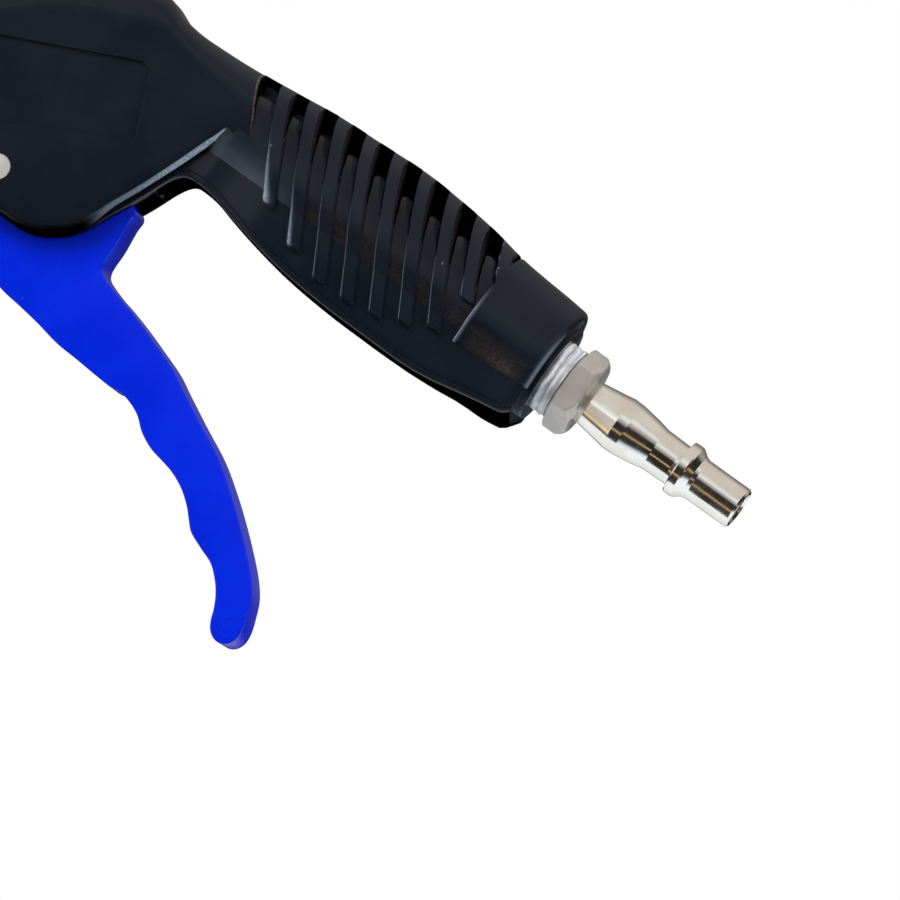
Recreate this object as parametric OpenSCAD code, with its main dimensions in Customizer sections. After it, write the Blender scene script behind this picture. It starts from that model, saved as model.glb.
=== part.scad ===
/* [Body] */
// Width of the head across its two flat sides
head_w = 22.4; // [20:0.2:28]
// Length of the head from the fin tip to the front face
head_len = 68; // [62:0.5:76]
// Height of the head from the trigger lobe to the crown
head_h = 47.4; // [45:0.2:54]
// Radius of the trigger lobe under the head
lobe_r = 14.5; // [13:0.1:16]
// Length of the handle from its end face to the elbow
handle_len = 97; // [92:0.5:104]
// Tilt of the handle axis below the nozzle axis, in degrees
handle_tilt = 35.55; // [33:0.1:38]
// Distance along the nozzle from the trigger pin back to the handle end
inlet_run = 97.85; // [94:0.5:102]
// Drop from the trigger pin to the handle end
inlet_drop = 36; // [34:0.2:38]
// Reach of the palm swell behind the handle axis
grip_back = 16.4; // [15.6:0.1:18]
// Reach of the finger side in front of the handle axis
grip_front = 14.2; // [13.4:0.1:16]
// Half width of the handle's inner barrel between the ribs
core_half = 12.3; // [11.6:0.1:13.4]
// Width of a grip rib
rib_w = 2.6; // [2:0.1:3]
// Distance from rib to rib along the handle
rib_pitch = 6.13; // [5.6:0.05:6.4]
// Number of grip ribs
rib_n = 9; // [5:1:9]
// Depth of the bare label recess
label_depth = 0.6; // [0.3:0.1:1]

/* [Trigger] */
// Width of the trigger lever
trigger_w = 12.6; // [10:0.2:13.4]
// Height of the trigger below its pin
trigger_drop = 86; // [78:0.5:92]
// Radius of the trigger pin
pin_r = 2.35; // [2:0.05:2.6]
// Radius of the boss round the trigger pin
boss_r = 4.9; // [4.4:0.1:5]
// Pull of the trigger, in degrees
pull = 12; // [6:1:13]

/* [Valve] */
// Distance from the trigger pin back to the valve stem
valve_back = 12; // [11:0.1:13]
// Radius of the valve block
block_r = 8.2; // [7.8:0.1:8.5]
// Height of the valve block's foot above the trigger pin
block_foot = 5.6; // [5.4:0.1:6]
// Height of the valve seat above the trigger pin
seat_z = 18; // [17.6:0.1:18.4]
// Height of the valve block's top above the trigger pin
block_top = 28; // [27.6:0.1:28.6]
// Radius of the valve stem
stem_r = 2; // [1.6:0.1:2.3]
// Radius of the poppet disc
poppet_r = 4.6; // [4.2:0.1:5]
// Radius of the spring wire
wire_r = 0.4; // [0.3:0.05:0.45]

/* [Air line] */
// Outer radius of the air tube in the handle
tube_r = 4; // [3.4:0.1:4.4]
// Wall of the air tube
tube_wall = 1.4; // [1:0.1:1.6]
// Outer radius of the brass insert
insert_r = 9.4; // [9:0.1:9.8]
// Radius of the taped inlet thread
thread_r = 6.88; // [6.5:0.05:7]
// Pitch of the inlet thread
thread_pitch = 1.337; // [1.2:0.01:1.5]
// Width of the plug's hexagon across its flats
hex_af = 14.3; // [13:0.1:16]
// Length of the plug outside the handle end
plug_out = 42.3; // [40:0.5:46]
// Radius of the plug's nose
nose_r = 4; // [3.6:0.1:4.2]

/* [Nozzle] */
// Height of the nozzle axis above the trigger pin
nozzle_z = 16; // [15.4:0.1:17]
// Outer radius of the nozzle tube
nozzle_r = 4; // [3.5:0.1:4.4]
// Length of the nozzle tube
nozzle_len = 84; // [40:1:120]
// Radius of the hole in the nozzle tip
orifice_r = 1; // [0.6:0.1:1.5]
// Width of the nozzle nut across its flats
nut_af = 15; // [14:0.5:18]

/* [Hang eye] */
// Radius of the hang eye's hole
eye_r = 4; // [3:0.1:5]
// Wall round the hang eye's hole
eye_wall = 4; // [3:0.1:5]
// Thickness of the hang eye
eye_t = 7; // [5:0.2:9]
// Distance from the trigger pin back to the hang eye
eye_back = 16; // [14:0.5:18]
// Height of the hang eye above the trigger pin
eye_z = 40.4; // [39:0.1:43]

/* [Hidden] */

fine = 64;
coarse = 32;
// one overrun for every cut
cut = 1;
// how far stacked solids of one piece run into each other
lap = 0.2;
// gap between fixed parts, and gap of a running fit
seat_gap = 0.05;
run_gap = 0.04;
free_gap = 0.3;
half_w = head_w / 2;

// stations along the handle, from the end face to the elbow
station_share = [0, 0.05, 0.10, 0.16, 0.23, 0.31, 0.40, 0.50, 0.59, 0.67, 0.75, 0.83, 0.92, 1];
back_share = [0.78, 0.81, 0.83, 0.86, 0.925, 0.97, 1, 0.975, 0.95, 0.895, 0.845, 0.81, 0.795, 0.86];
core_share = [1, 1, 1, 1, 1, 1, 1, 1, 0.98, 0.93, 0.89, 0.87, 0.87, 0.87];
front_share = [0.905, 0.945, 0.96, 0.985, 0.985, 0.945, 0.93, 0.885, 0.81, 0.655, 0.60, 0.56, 0.50, 0.45];
rise_share = [0.6, 0.8, 0.9, 1, 1, 1, 1, 1, 0.9, 0.25, 0.15, 0.15, 0.15, 0.15];
// reach of the inner barrel behind the handle axis, and the crease below which the finger side starts
core_back = core_half * 0.9;
crease_v = -grip_front * 0.225;
rib_rise = 1;
arc_steps = 9;
// how far past the seam each form closes, all different so that no two faces meet
plate_past = 2.6;
core_past = 2;
crest_past = 2.3;
lug_past = 3;
rib_past = 1.2;
neck_past = 1.4;
collar_past = 1.6;

// angle and foot of the ribs, measured across the handle axis
rib_lean = 29.4;
rib_first = handle_len * 0.611;
neck_first = rib_first + rib_pitch - rib_w * 0.4;
rib_low_share = [-0.36, -0.62, -0.77, -0.77, -0.71, -0.58, -0.42, 0.09, 0.5];
web_t = 2.6;
collar_len = handle_len * 0.16;
collar_low = grip_front * 0.425;

// outline of the head as shares of its length and height, from the trigger pin, with an edge radius
head_outline_share = [
  [0.370, 0.135, 0.30], [0.392, 0.210, 0.30], [0.392, 0.450, 0.30], [0.370, 0.530, 0.36],
  [0.285, 0.590, 0.52], [0.150, 0.655, 0.56],
  [0.000, 0.708, 0.56], [-0.147, 0.732, 0.56], [-0.280, 0.706, 0.56], [-0.390, 0.648, 0.56],
  [-0.450, 0.585, 0.56], [-0.480, 0.520, 0.50], [-0.520, 0.420, 0.40], [-0.580, 0.290, 0.20],
  [-0.607, 0.148, 0.07], [-0.580, 0.112, 0.07], [-0.541, 0.080, 0.10], [-0.500, 0.046, 0.12],
  [-0.465, 0.006, 0.16], [-0.455, -0.050, 0.18], [-0.425, -0.086, 0.18], [-0.388, -0.120, 0.18],
  [-0.350, -0.154, 0.18]];
barrel_outline_share = [[0.035, -0.139, 0.18], [0.078, -0.060, 0.18], [0.125, 0.020, 0.18],
                        [0.190, 0.085, 0.24], [0.280, 0.112, 0.30]];
lobe_x = -lobe_r * 0.724;
lobe_z = lobe_r * 0.131;
edge_steps = 4;

// outline of the trigger as shares of its drop, from the trigger pin
trigger_front_share = [
  [0.060, 0.020], [0.078, -0.010], [0.092, -0.060], [0.086, -0.115], [0.058, -0.180],
  [-0.002, -0.249], [-0.042, -0.286], [-0.081, -0.323], [-0.121, -0.364], [-0.162, -0.397],
  [-0.202, -0.430], [-0.234, -0.455], [-0.253, -0.464], [-0.274, -0.486], [-0.291, -0.514],
  [-0.301, -0.549], [-0.320, -0.583], [-0.343, -0.608], [-0.365, -0.633], [-0.384, -0.665],
  [-0.396, -0.700], [-0.401, -0.729], [-0.407, -0.758], [-0.428, -0.792], [-0.448, -0.822],
  [-0.457, -0.856], [-0.459, -0.885], [-0.457, -0.914], [-0.449, -0.944], [-0.448, -0.963],
  [-0.456, -0.979], [-0.477, -0.993], [-0.495, -0.997]];
trigger_rear_share = [
  [-0.512, -0.978], [-0.525, -0.955], [-0.531, -0.915], [-0.534, -0.880], [-0.526, -0.820],
  [-0.508, -0.742], [-0.484, -0.664], [-0.458, -0.597], [-0.420, -0.527], [-0.386, -0.462],
  [-0.363, -0.417], [-0.330, -0.370], [-0.298, -0.326], [-0.266, -0.286], [-0.242, -0.259],
  [-0.223, -0.234], [-0.213, -0.217], [-0.214, -0.202], [-0.223, -0.186], [-0.242, -0.158],
  [-0.266, -0.115], [-0.281, -0.092], [-0.272, -0.070], [-0.235, -0.022], [-0.185, 0.000],
  [-0.165, 0.003], [-0.110, 0.003], [-0.085, 0.018]];
trigger_edge = 1.5;
boss_pad = 0.2;
slot_half = trigger_w / 2 + free_gap;
slot_roof = block_foot - free_gap;
slot_share = [[0.230, -0.50], [0.230, 0.02], [0.110, 0.05], [-0.390, 0.05], [-0.412, -0.02], [-0.408, -0.50]];
mark_r = 1.7;
mark_depth = 0.25;

// heights inside the valve, from the trigger pin
stem_gap = 0.1;
stem_foot = trigger_drop * 0.003 + stem_gap;
stem_point = 0.5;
stem_cone = 0.8;
guide_top = seat_z * 0.56;
seat_hole_r = poppet_r * 0.65;
outlet_r = block_r * 0.5;
chamber_r = block_r * 0.68;
seal_t = 0.8;
poppet_t = 2;
spigot_r = stem_r * 0.8;
spigot_h = 3;
cap_flange = 2.4;
cap_plug = 1.6;
ring_r = 0.6;
spring_turns = 4;
spring_r = poppet_r * 0.74;
spring_sides = 8;
spring_steps = 20;
lift = valve_back * sin(pull);

// places along the handle axis, from the handle end
socket_in = valve_back_along() - block_r * 2.6;
tube_end = socket_in + tube_r * 2;
insert_len = insert_r * 1.6;
spigot_len = insert_r * 1.05;
tube_start = insert_len + tube_wall;
socket_wall = 2.6;
socket_r = tube_r + socket_wall;
socket_len = block_r * 1.95;
line_bore = tube_r - tube_wall;
inlet_r = line_bore * 0.92;
cradle_n = 3;
cradle_t = 2.4;
cavity_r = tube_r * 1.5;
flange_t = 2;
flange_rise = 1.1;
flange_r = insert_r + flange_rise;

// places along the nozzle axis, from the trigger pin
front_x = head_len * 0.392;
boss_front = front_x * 0.36;
nozzle_boss_r = block_r * 0.86;
adaptor_wall = 1;
adaptor_r = nozzle_r + adaptor_wall;
adaptor_back = -front_x * 0.02;
shoulder_step = 0.4;
shoulder_r = nozzle_boss_r - shoulder_step;
nut_len = nut_af * 0.5;
nut_gap = 0.3;
cone_len = nut_af * 0.24;
nozzle_in = nut_len + cone_len + nozzle_r * 1.6;
nozzle_start = front_x + nut_gap + nut_len + cone_len - nozzle_in;
nozzle_end = nozzle_start + nozzle_len;
nozzle_bore = nozzle_r * 0.62;
tip_r = nozzle_r * 1.3;
tip_len = nozzle_r * 4.2;
tip_grip = nozzle_r * 2;

// screws: across the head at the crown, and through the finger side of the handle
screw_r = 1.5;
screw_head_r = 2.8;
screw_head_t = 2;
screw_cover = 2.4;
screw_low = half_w * 0.6;
screw_clear = 0.9;
screws = [[head_len * 0.045, nozzle_z + nozzle_boss_r + screw_head_r + screw_clear],
          at_handle(handle_len * 0.215, -grip_front * 0.655),
          at_handle(handle_len * 0.525, -grip_front * 0.60)];

// label recess on the flat side, and the mould mark near the trigger's tip
label_w = head_len * 0.47;
label_h = head_h * 0.293;
label_corner = label_h * 0.12;
label_tilt = 10.6;
label_at = [-head_len * 0.160, head_h * 0.303];
mark_at = [-trigger_drop * 0.480, -trigger_drop * 0.962];
pin_inset = 0.1;
eye_from = -20;
eye_to = 208;
lobe_from = 226;
lobe_to = 312;
lobe_steps = 10;
lobe_edge_share = 0.18;
flange_place_share = [0.28, 0.62];
screw_seat = half_w - screw_cover - screw_head_t;
insert_sink = 0.3;
thread_in = insert_len * 0.62;
root_r = thread_r - thread_pitch * 0.5;
plug_bore = nose_r * 0.68;
tape_dip = thread_pitch * 0.14;
gland_floor = 1.4;
gland_z = block_foot + gland_floor;
gland_h = 2 * ring_r + 2 * seat_gap;
gland_r = stem_r + run_gap + 2 * ring_r + seat_gap;
seat_lip = 0.9;
cap_groove = 2 * ring_r + seat_gap;
cap_well = cap_flange * 0.3;
spring_low = seat_z + seal_t + poppet_t + seat_gap;
spring_climb = (block_top + cap_well - seat_gap - spring_low - 2 * wire_r) / spring_turns;
passage_r = block_r * 0.22;
line_ring_in = 1.6;
line_groove = 2 * ring_r + 2 * seat_gap;

function valve_back_along() = (inlet_run - valve_back) / cos(handle_tilt);
// place of a point given along and behind the handle axis
function at_handle(u, v) = [-inlet_run + u * cos(handle_tilt) - v * sin(handle_tilt),
                            -inlet_drop + u * sin(handle_tilt) + v * cos(handle_tilt)];
function scaled(points, w, h) = [for (p = points) [p[0] * w, p[1] * h]];
function arc(x, z, r, a0, a1, n) = [for (i = [0:n]) [x + r * cos(a0 + (a1 - a0) * i / n),
                                                    z + r * sin(a0 + (a1 - a0) * i / n)]];
function at(list, s) = lookup(s, [for (i = [0:len(station_share) - 1]) [station_share[i], list[i]]]);
function unit(p) = p / max(norm(p), 0.000001);
// inward normal at each point of an anticlockwise outline
function inward(points, i) = let(n = len(points), a = points[(i + n - 1) % n], b = points[(i + 1) % n],
                                 t = unit(b - a)) [-t[1], t[0]];
// one ring of a plate whose edge is rounded by a quarter turn
function plate_ring(points, radii, half, angle) = [for (i = [0:len(points) - 1])
  let(p = points[i] + inward(points, i) * radii[i] * (1 - cos(angle)))
  [p[0], half - radii[i] * (1 - sin(angle)), p[1]]];
function side_faces(rings, n) = [for (k = [0:rings - 2], i = [0:n - 1])
  each [[k * n + i, k * n + (i + 1) % n, (k + 1) * n + (i + 1) % n],
        [k * n + i, (k + 1) * n + (i + 1) % n, (k + 1) * n + i]]];

// turns the frame so that Z runs along the handle axis, from its end face to the head
module along_handle(u = 0) {
  translate([-inlet_run, 0, -inlet_drop])
    rotate([0, 90 - handle_tilt, 0])
      translate([0, 0, u])
        children();
}

module along_nozzle(x = 0) {
  translate([x, 0, nozzle_z])
    rotate([0, 90, 0])
      children();
}

module at_valve(z = 0) {
  translate([-valve_back, 0, z])
    children();
}

module across(depth) {
  rotate([90, 0, 0])
    linear_extrude(depth, center = true)
      children();
}

// everything is built from the trigger pin and set down with the hang eye at the origin
module in_frame() {
  translate([eye_back, 0, -eye_z])
    children();
}

// half a plate with a rounded edge, from a little past the seam out to its flat side
module half_plate(points, radii, half, past) {
  n = len(points);
  rings = [for (k = [0:edge_steps]) plate_ring(points, radii, half, 90 * k / edge_steps)];
  base = [for (p = points) [p[0], -past, p[1]]];
  polyhedron(concat(base, [for (r = rings) each r]),
             concat([[for (i = [n - 1:-1:0]) i]], side_faces(edge_steps + 2, n),
                    [[for (i = [0:n - 1]) (edge_steps + 1) * n + i]]));
}

module washer(r_out, r_in, h) {
  difference() {
    cylinder(h, r = r_out, $fn = fine);
    translate([0, 0, -cut])
      cylinder(h + 2 * cut, r = r_in, $fn = fine);
  }
}

module o_ring(major, minor) {
  rotate_extrude($fn = fine)
    translate([major, 0])
      circle(minor, $fn = coarse);
}

// a whole plate with both edges rounded
module plate(points, radii, half) {
  n = len(points);
  turns = [for (k = [0:edge_steps]) 90 * k / edge_steps];
  far = [for (k = [edge_steps:-1:0]) [for (p = plate_ring(points, radii, half, turns[k])) [p[0], -p[1], p[2]]]];
  near = [for (t = turns) plate_ring(points, radii, half, t)];
  polyhedron([for (r = concat(far, near)) each r],
             concat([[for (i = [n - 1:-1:0]) i]], side_faces(2 * edge_steps + 2, n),
                    [[for (i = [0:n - 1]) (2 * edge_steps + 1) * n + i]]));
}

// half section of the handle, a little past the seam: a quarter oval behind the crease, then the
// flat finger side and its lip
function section(s, back, rise, past) =
  let(wide = core_half * at(core_share, s) + rise * at(rise_share, s),
      low = -grip_front * at(front_share, s),
      drop = low - crease_v)
  concat([for (i = [0:arc_steps]) [wide * sin(90 * i / arc_steps), back * cos(90 * i / arc_steps)]],
         [[wide, crease_v], [wide * 0.985, crease_v + drop * 0.4], [wide * 0.94, crease_v + drop * 0.72],
          [wide * 0.85, crease_v + drop * 0.89], [wide * 0.66, crease_v + drop * 0.97], [0, low],
          [-past, low], [-past, back]]);

// the half sections along the handle; inset shortens both ends
module handle_loft(backs, rise, past, inset) {
  rows = [for (i = [0:len(station_share) - 1]) section(station_share[i], backs[i], rise, past)];
  n = len(rows[0]);
  m = len(rows);
  run = handle_len - 2 * inset;
  along_handle(inset)
    polyhedron([for (j = [0:m - 1], p = rows[j]) [-p[1], p[0], station_share[j] * run]],
               concat([[for (i = [n - 1:-1:0]) i]], side_faces(m, n), [[for (i = [0:n - 1]) (m - 1) * n + i]]));
}

module rib_bars() {
  for (i = [0:rib_n - 1]) {
    low = grip_front * rib_low_share[i] / cos(rib_lean);
    along_handle(rib_first - i * rib_pitch)
      rotate([0, rib_lean, 0]) {
        translate([0, head_w, 0])
          rotate([90, 0, 0])
            linear_extrude(head_w + rib_past)
              polygon([[-2 * grip_back, -rib_w / 2], [-low, -rib_w / 2], [-low + rib_w * 0.35, -rib_w * 0.35],
                       [-low + rib_w / 2, 0], [-low + rib_w * 0.35, rib_w * 0.35], [-low, rib_w / 2],
                       [-2 * grip_back, rib_w / 2]]);
      }
  }
}

// ribs, smooth neck, end collar and back web are the outer form where these blocks keep it
module raised_blocks() {
  rib_bars();
  along_handle(neck_first)
    rotate([0, rib_lean, 0])
      translate([-2 * grip_back, -neck_past, 0])
        cube([2 * grip_back + grip_front * 0.6, head_w, handle_len]);
  along_handle(-cut)
    translate([-2 * grip_back, -collar_past, 0])
      cube([2 * grip_back + collar_low, head_w, collar_len + cut]);
  along_handle(-cut)
    translate([-2 * grip_back, -cut, 0])
      cube([2 * grip_back, web_t / 2 + cut, handle_len]);
}

module label_recess() {
  w = label_w / 2;
  h = label_h / 2;
  k = label_corner;
  translate([label_at[0], half_w, label_at[1]])
    rotate([90, -label_tilt, 0])
      linear_extrude(label_depth * 2, center = true)
        polygon([[-w + k, -h], [w - k, -h], [w, -h + k], [w, h - k],
                 [w - k, h], [-w + k, h], [-w, h - k], [-w, -h + k]]);
}

// the hang eye's lug: straight flanks from the crown up to the round eye
module eye_lug(half, past) {
  r = eye_r + eye_wall;
  translate([0, half, 0])
    rotate([90, 0, 0])
      linear_extrude(half + past)
        polygon(concat([[-head_len * 0.44, head_h * 0.60], [-head_len * 0.06, head_h * 0.60]],
                       arc(-eye_back, eye_z, r, eye_from, eye_to, arc_steps * 2)));
}

// outer form of one shell half, on the near side of the seam, as one closed skin
module shell_form() {
  difference() {
    resize([0, 0, 0])
      shell_skin();
    translate([-2 * handle_len, -head_w, -2 * head_h])
      cube([4 * handle_len, head_w, 4 * head_h]);
  }
}

module shell_skin() {
  points = concat(scaled(head_outline_share, head_len, head_h),
                  arc(lobe_x, lobe_z, lobe_r, lobe_from, lobe_to, lobe_steps),
                  scaled(barrel_outline_share, head_len, head_h));
  radii = half_w * concat([for (p = head_outline_share) p[2]], [for (i = [0:lobe_steps]) lobe_edge_share],
                          [for (p = barrel_outline_share) p[2]]);
  half_plate(points, radii, half_w, plate_past);
  handle_loft([for (c = core_share) core_back * c], 0, core_past, free_gap);
  intersection() {
    handle_loft([for (b = back_share) grip_back * b], rib_rise, crest_past, 0);
    raised_blocks();
  }
  eye_lug(eye_t / 2, lug_past);
}

module screw_places() {
  for (p = screws)
    translate([p[0], 0, p[1]])
      children();
}

// room for the air line, from the handle end to the valve block
module line_room() {
  spigot_end = insert_len + spigot_len + free_gap;
  run = socket_in - spigot_end;
  bay = run / cradle_n;
  along_handle(-cut)
    cylinder(insert_len + seat_gap + cut, r = insert_r + seat_gap, $fn = fine);
  for (at_share = flange_place_share)
    along_handle(insert_len * at_share - seat_gap)
      cylinder(flange_t + 2 * seat_gap, r = flange_r + seat_gap, $fn = fine);
  along_handle()
    cylinder(spigot_end, r = socket_r + seat_gap, $fn = fine);
  along_handle()
    cylinder(socket_in, r = tube_r + seat_gap, $fn = fine);
  for (i = [0:cradle_n - 1])
    along_handle(spigot_end + i * bay + (i > 0 ? cradle_t / 2 : 0))
      cylinder(bay - cradle_t / (i > 0 && i < cradle_n - 1 ? 1 : 2), r = cavity_r, $fn = fine);
  along_handle(socket_in - seat_gap)
    cylinder(socket_len + 2 * seat_gap, r = socket_r + seat_gap, $fn = fine);
}

module shell_room() {
  line_room();
  at_valve(block_foot - seat_gap)
    cylinder(block_top + cap_flange - block_foot + 2 * seat_gap, r = block_r + seat_gap, $fn = fine);
  at_valve(slot_roof - cut)
    cylinder(block_foot - slot_roof + cut, r = stem_r + free_gap, $fn = fine);
  along_nozzle(-valve_back)
    cylinder(valve_back + boss_front + seat_gap, r = nozzle_boss_r + seat_gap, $fn = fine);
  along_nozzle(-cut)
    cylinder(front_x + 2 * cut, r = shoulder_r + seat_gap, $fn = fine);
  across(2 * slot_half)
    polygon(scaled(slot_share, head_len, head_h));
  translate([-boss_r - free_gap, -slot_half, -boss_r])
    cube([2 * (boss_r + free_gap), 2 * slot_half, boss_r + slot_roof]);
  across(2 * slot_half)
    translate([-valve_back - block_r, 0])
      square([valve_back + block_r, slot_roof]);
  rotate([90, 0, 0])
    cylinder(2 * head_w, r = pin_r + seat_gap / 2, center = true, $fn = fine);
  translate([-eye_back, 0, eye_z])
    rotate([90, 0, 0])
      cylinder(2 * head_w, r = eye_r, center = true, $fn = fine);
}

module left_shell() {
  color([0.13, 0.14, 0.17])
    in_frame()
      difference() {
        shell_form();
        shell_room();
        label_recess();
        screw_places()
          rotate([-90, 0, 0])
            translate([0, 0, -cut])
              cylinder(screw_low + cut, r = screw_r + seat_gap, $fn = coarse);
      }
}

module right_shell() {
  color([0.12, 0.13, 0.16])
    in_frame()
      difference() {
        mirror([0, 1, 0])
          shell_form();
        shell_room();
        mirror([0, 1, 0])
          label_recess();
        screw_places()
          rotate([90, 0, 0]) {
            translate([0, 0, -cut])
              cylinder(head_w, r = screw_r + seat_gap, $fn = coarse);
            translate([0, 0, screw_seat])
              cylinder(head_w, r = screw_head_r + seat_gap * 2, $fn = coarse);
          }
      }
}

module body_screws() {
  color([0.55, 0.55, 0.57])
    in_frame()
      screw_places()
        difference() {
          union() {
            rotate([90, 0, 0])
              translate([0, 0, free_gap - screw_low])
                cylinder(screw_low - free_gap + screw_seat + lap, r = screw_r, $fn = coarse);
            rotate([90, 0, 0])
              translate([0, 0, screw_seat])
                cylinder(screw_head_t, r = screw_head_r, $fn = coarse);
          }
          rotate([90, 0, 0])
            translate([0, 0, screw_seat + screw_head_t / 2])
              cylinder(screw_head_t, r = screw_r * 0.8, $fn = 6);
        }
}

module trigger() {
  outline = concat(scaled(trigger_front_share, trigger_drop, trigger_drop),
                   scaled(trigger_rear_share, trigger_drop, trigger_drop));
  points = [for (i = [len(outline) - 1:-1:0]) outline[i]];
  color([0.02, 0.14, 0.82])
    in_frame()
      difference() {
        resize([0, 0, 0])
          union() {
            plate(points, [for (p = points) trigger_edge], trigger_w / 2);
            rotate([90, 0, 0])
              cylinder(trigger_w + boss_pad, r = boss_r, center = true, $fn = fine);
          }
        rotate([90, 0, 0])
          cylinder(trigger_w + 2 * cut, r = pin_r + run_gap, center = true, $fn = fine);
        translate([mark_at[0], trigger_w / 2, mark_at[1]])
          rotate([90, 0, 0])
            cylinder(2 * mark_depth, r = mark_r, center = true, $fn = coarse);
      }
}

module trigger_pin() {
  color([0.80, 0.79, 0.76])
    in_frame()
      rotate([90, 0, 0])
        cylinder(head_w - pin_inset * 2, r = pin_r, center = true, $fn = fine);
}

module valve_block() {
  color([0.72, 0.58, 0.32])
    in_frame()
      difference() {
        union() {
          at_valve(block_foot)
            cylinder(block_top - block_foot, r = block_r, $fn = fine);
          along_nozzle(-valve_back)
            cylinder(valve_back + boss_front, r = nozzle_boss_r, $fn = fine);
          along_handle(socket_in)
            cylinder(socket_len, r = socket_r, $fn = fine);
        }
        at_valve(block_foot - cut)
          cylinder(block_top, r = stem_r + run_gap, $fn = fine);
        at_valve(gland_z)
          cylinder(gland_h, r = gland_r, $fn = fine);
        at_valve(guide_top)
          cylinder(seat_z - seat_lip - guide_top, r = outlet_r, $fn = fine);
        at_valve(guide_top)
          cylinder(seat_z - guide_top + cut / 2, r = seat_hole_r, $fn = fine);
        at_valve(seat_z)
          cylinder(block_top, r = chamber_r, $fn = fine);
        at_valve(block_top - cap_groove)
          cylinder(cap_groove + cut, r = chamber_r + 2 * ring_r, $fn = fine);
        along_nozzle(-valve_back)
          cylinder(valve_back + boss_front, r = passage_r, $fn = fine);
        along_nozzle(adaptor_back)
          cylinder(front_x, r = adaptor_r + run_gap, $fn = fine);
        along_nozzle(boss_front - cap_groove)
          cylinder(cap_groove + cut, r = adaptor_r + 2 * ring_r + run_gap, $fn = fine);
        along_handle(socket_in - cut)
          cylinder(tube_end - socket_in + cut + seat_gap, r = tube_r + run_gap, $fn = fine);
        along_handle(socket_in)
          cylinder(valve_back_along() - socket_in, r = inlet_r, $fn = fine);
        along_handle(socket_in + line_ring_in)
          cylinder(line_groove, r = tube_r + 2 * ring_r + seat_gap, $fn = fine);
      }
}

module valve_stem() {
  color([0.78, 0.78, 0.80])
    in_frame() {
      at_valve(stem_foot)
        cylinder(stem_cone, r1 = stem_point, r2 = stem_r, $fn = fine);
      at_valve(stem_foot + stem_cone)
        cylinder(seat_z - stem_foot - stem_cone, r = stem_r, $fn = fine);
      at_valve(seat_z - lap)
        cylinder(lap + seal_t + poppet_t + spigot_h, r = spigot_r, $fn = fine);
    }
}

module valve_poppet() {
  color([0.74, 0.60, 0.34])
    in_frame()
      at_valve(seat_z + seal_t)
        washer(poppet_r, spigot_r + seat_gap, poppet_t);
}

module seat_seal() {
  color([0.08, 0.08, 0.08])
    in_frame()
      at_valve(seat_z)
        washer(poppet_r, spigot_r + seat_gap, seal_t);
}

// one ring of the spring wire, square to the helix
function coil_ring(i) =
  let(turn = i / spring_steps, a = 360 * turn, rise = spring_low + wire_r + spring_climb * turn)
  [for (k = [0:spring_sides - 1]) let(b = 360 * k / spring_sides, r = spring_r + wire_r * cos(b))
   [r * cos(a), r * sin(a), rise + wire_r * sin(b)]];

module valve_spring() {
  count = spring_turns * spring_steps;
  n = spring_sides;
  color([0.62, 0.63, 0.65])
    in_frame()
      at_valve()
        polyhedron([for (i = [0:count]) each coil_ring(i)],
                   concat([[for (i = [n - 1:-1:0]) i]], side_faces(count + 1, n),
                          [[for (i = [0:n - 1]) count * n + i]]));
}

module valve_cap() {
  color([0.70, 0.56, 0.30])
    in_frame()
      difference() {
        union() {
          at_valve(block_top - cap_plug)
            cylinder(cap_plug + lap, r = chamber_r - seat_gap, $fn = fine);
          at_valve(block_top)
            cylinder(cap_flange, r = block_r, $fn = fine);
        }
        at_valve(block_top - cap_plug - cut)
          cylinder(cap_plug + cut + cap_well, r = spring_r + wire_r + free_gap, $fn = fine);
        at_valve(block_top + cap_flange * 0.6)
          cylinder(cap_flange, r = stem_r * 1.3, $fn = 6);
      }
}

module stem_o_ring() {
  color([0.06, 0.06, 0.06])
    in_frame()
      at_valve(gland_z + gland_h / 2)
        o_ring(stem_r + run_gap + ring_r, ring_r);
}

module cap_o_ring() {
  color([0.06, 0.06, 0.06])
    in_frame()
      at_valve(block_top - cap_groove / 2)
        o_ring(chamber_r + ring_r, ring_r * 0.95);
}

module nozzle_o_ring() {
  color([0.06, 0.06, 0.06])
    in_frame()
      along_nozzle(boss_front - cap_groove / 2)
        o_ring(adaptor_r + run_gap + ring_r, ring_r * 0.95);
}

module inlet_insert() {
  color([0.76, 0.60, 0.30])
    in_frame()
      along_handle()
        difference() {
          union() {
            translate([0, 0, insert_sink])
              cylinder(insert_len - insert_sink, r = insert_r, $fn = fine);
            for (at_share = flange_place_share)
              translate([0, 0, insert_len * at_share])
                cylinder(flange_t, r = flange_r, $fn = fine);
            translate([0, 0, insert_len - lap])
              cylinder(spigot_len + lap, r = socket_r, $fn = fine);
          }
          translate([0, 0, -cut])
            cylinder(thread_in + thread_pitch + cut, r = thread_r + seat_gap, $fn = fine);
          cylinder(insert_len + spigot_len + cut, r = line_bore, $fn = fine);
          translate([0, 0, tube_start - seat_gap])
            cylinder(spigot_len + cut, r = tube_r + run_gap, $fn = fine);
          translate([0, 0, insert_len + spigot_len - line_ring_in - line_groove])
            cylinder(line_groove, r = tube_r + 2 * ring_r + seat_gap, $fn = fine);
        }
}

module air_tube() {
  color([0.85, 0.87, 0.90])
    in_frame()
      along_handle(tube_start)
        washer(tube_r, line_bore, tube_end - tube_start);
}

module tube_o_rings() {
  color([0.06, 0.06, 0.06])
    in_frame()
      for (u = [insert_len + spigot_len - line_ring_in - line_groove / 2, socket_in + line_ring_in + line_groove / 2])
        along_handle(u)
          o_ring(tube_r + run_gap + ring_r, ring_r);
}

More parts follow.
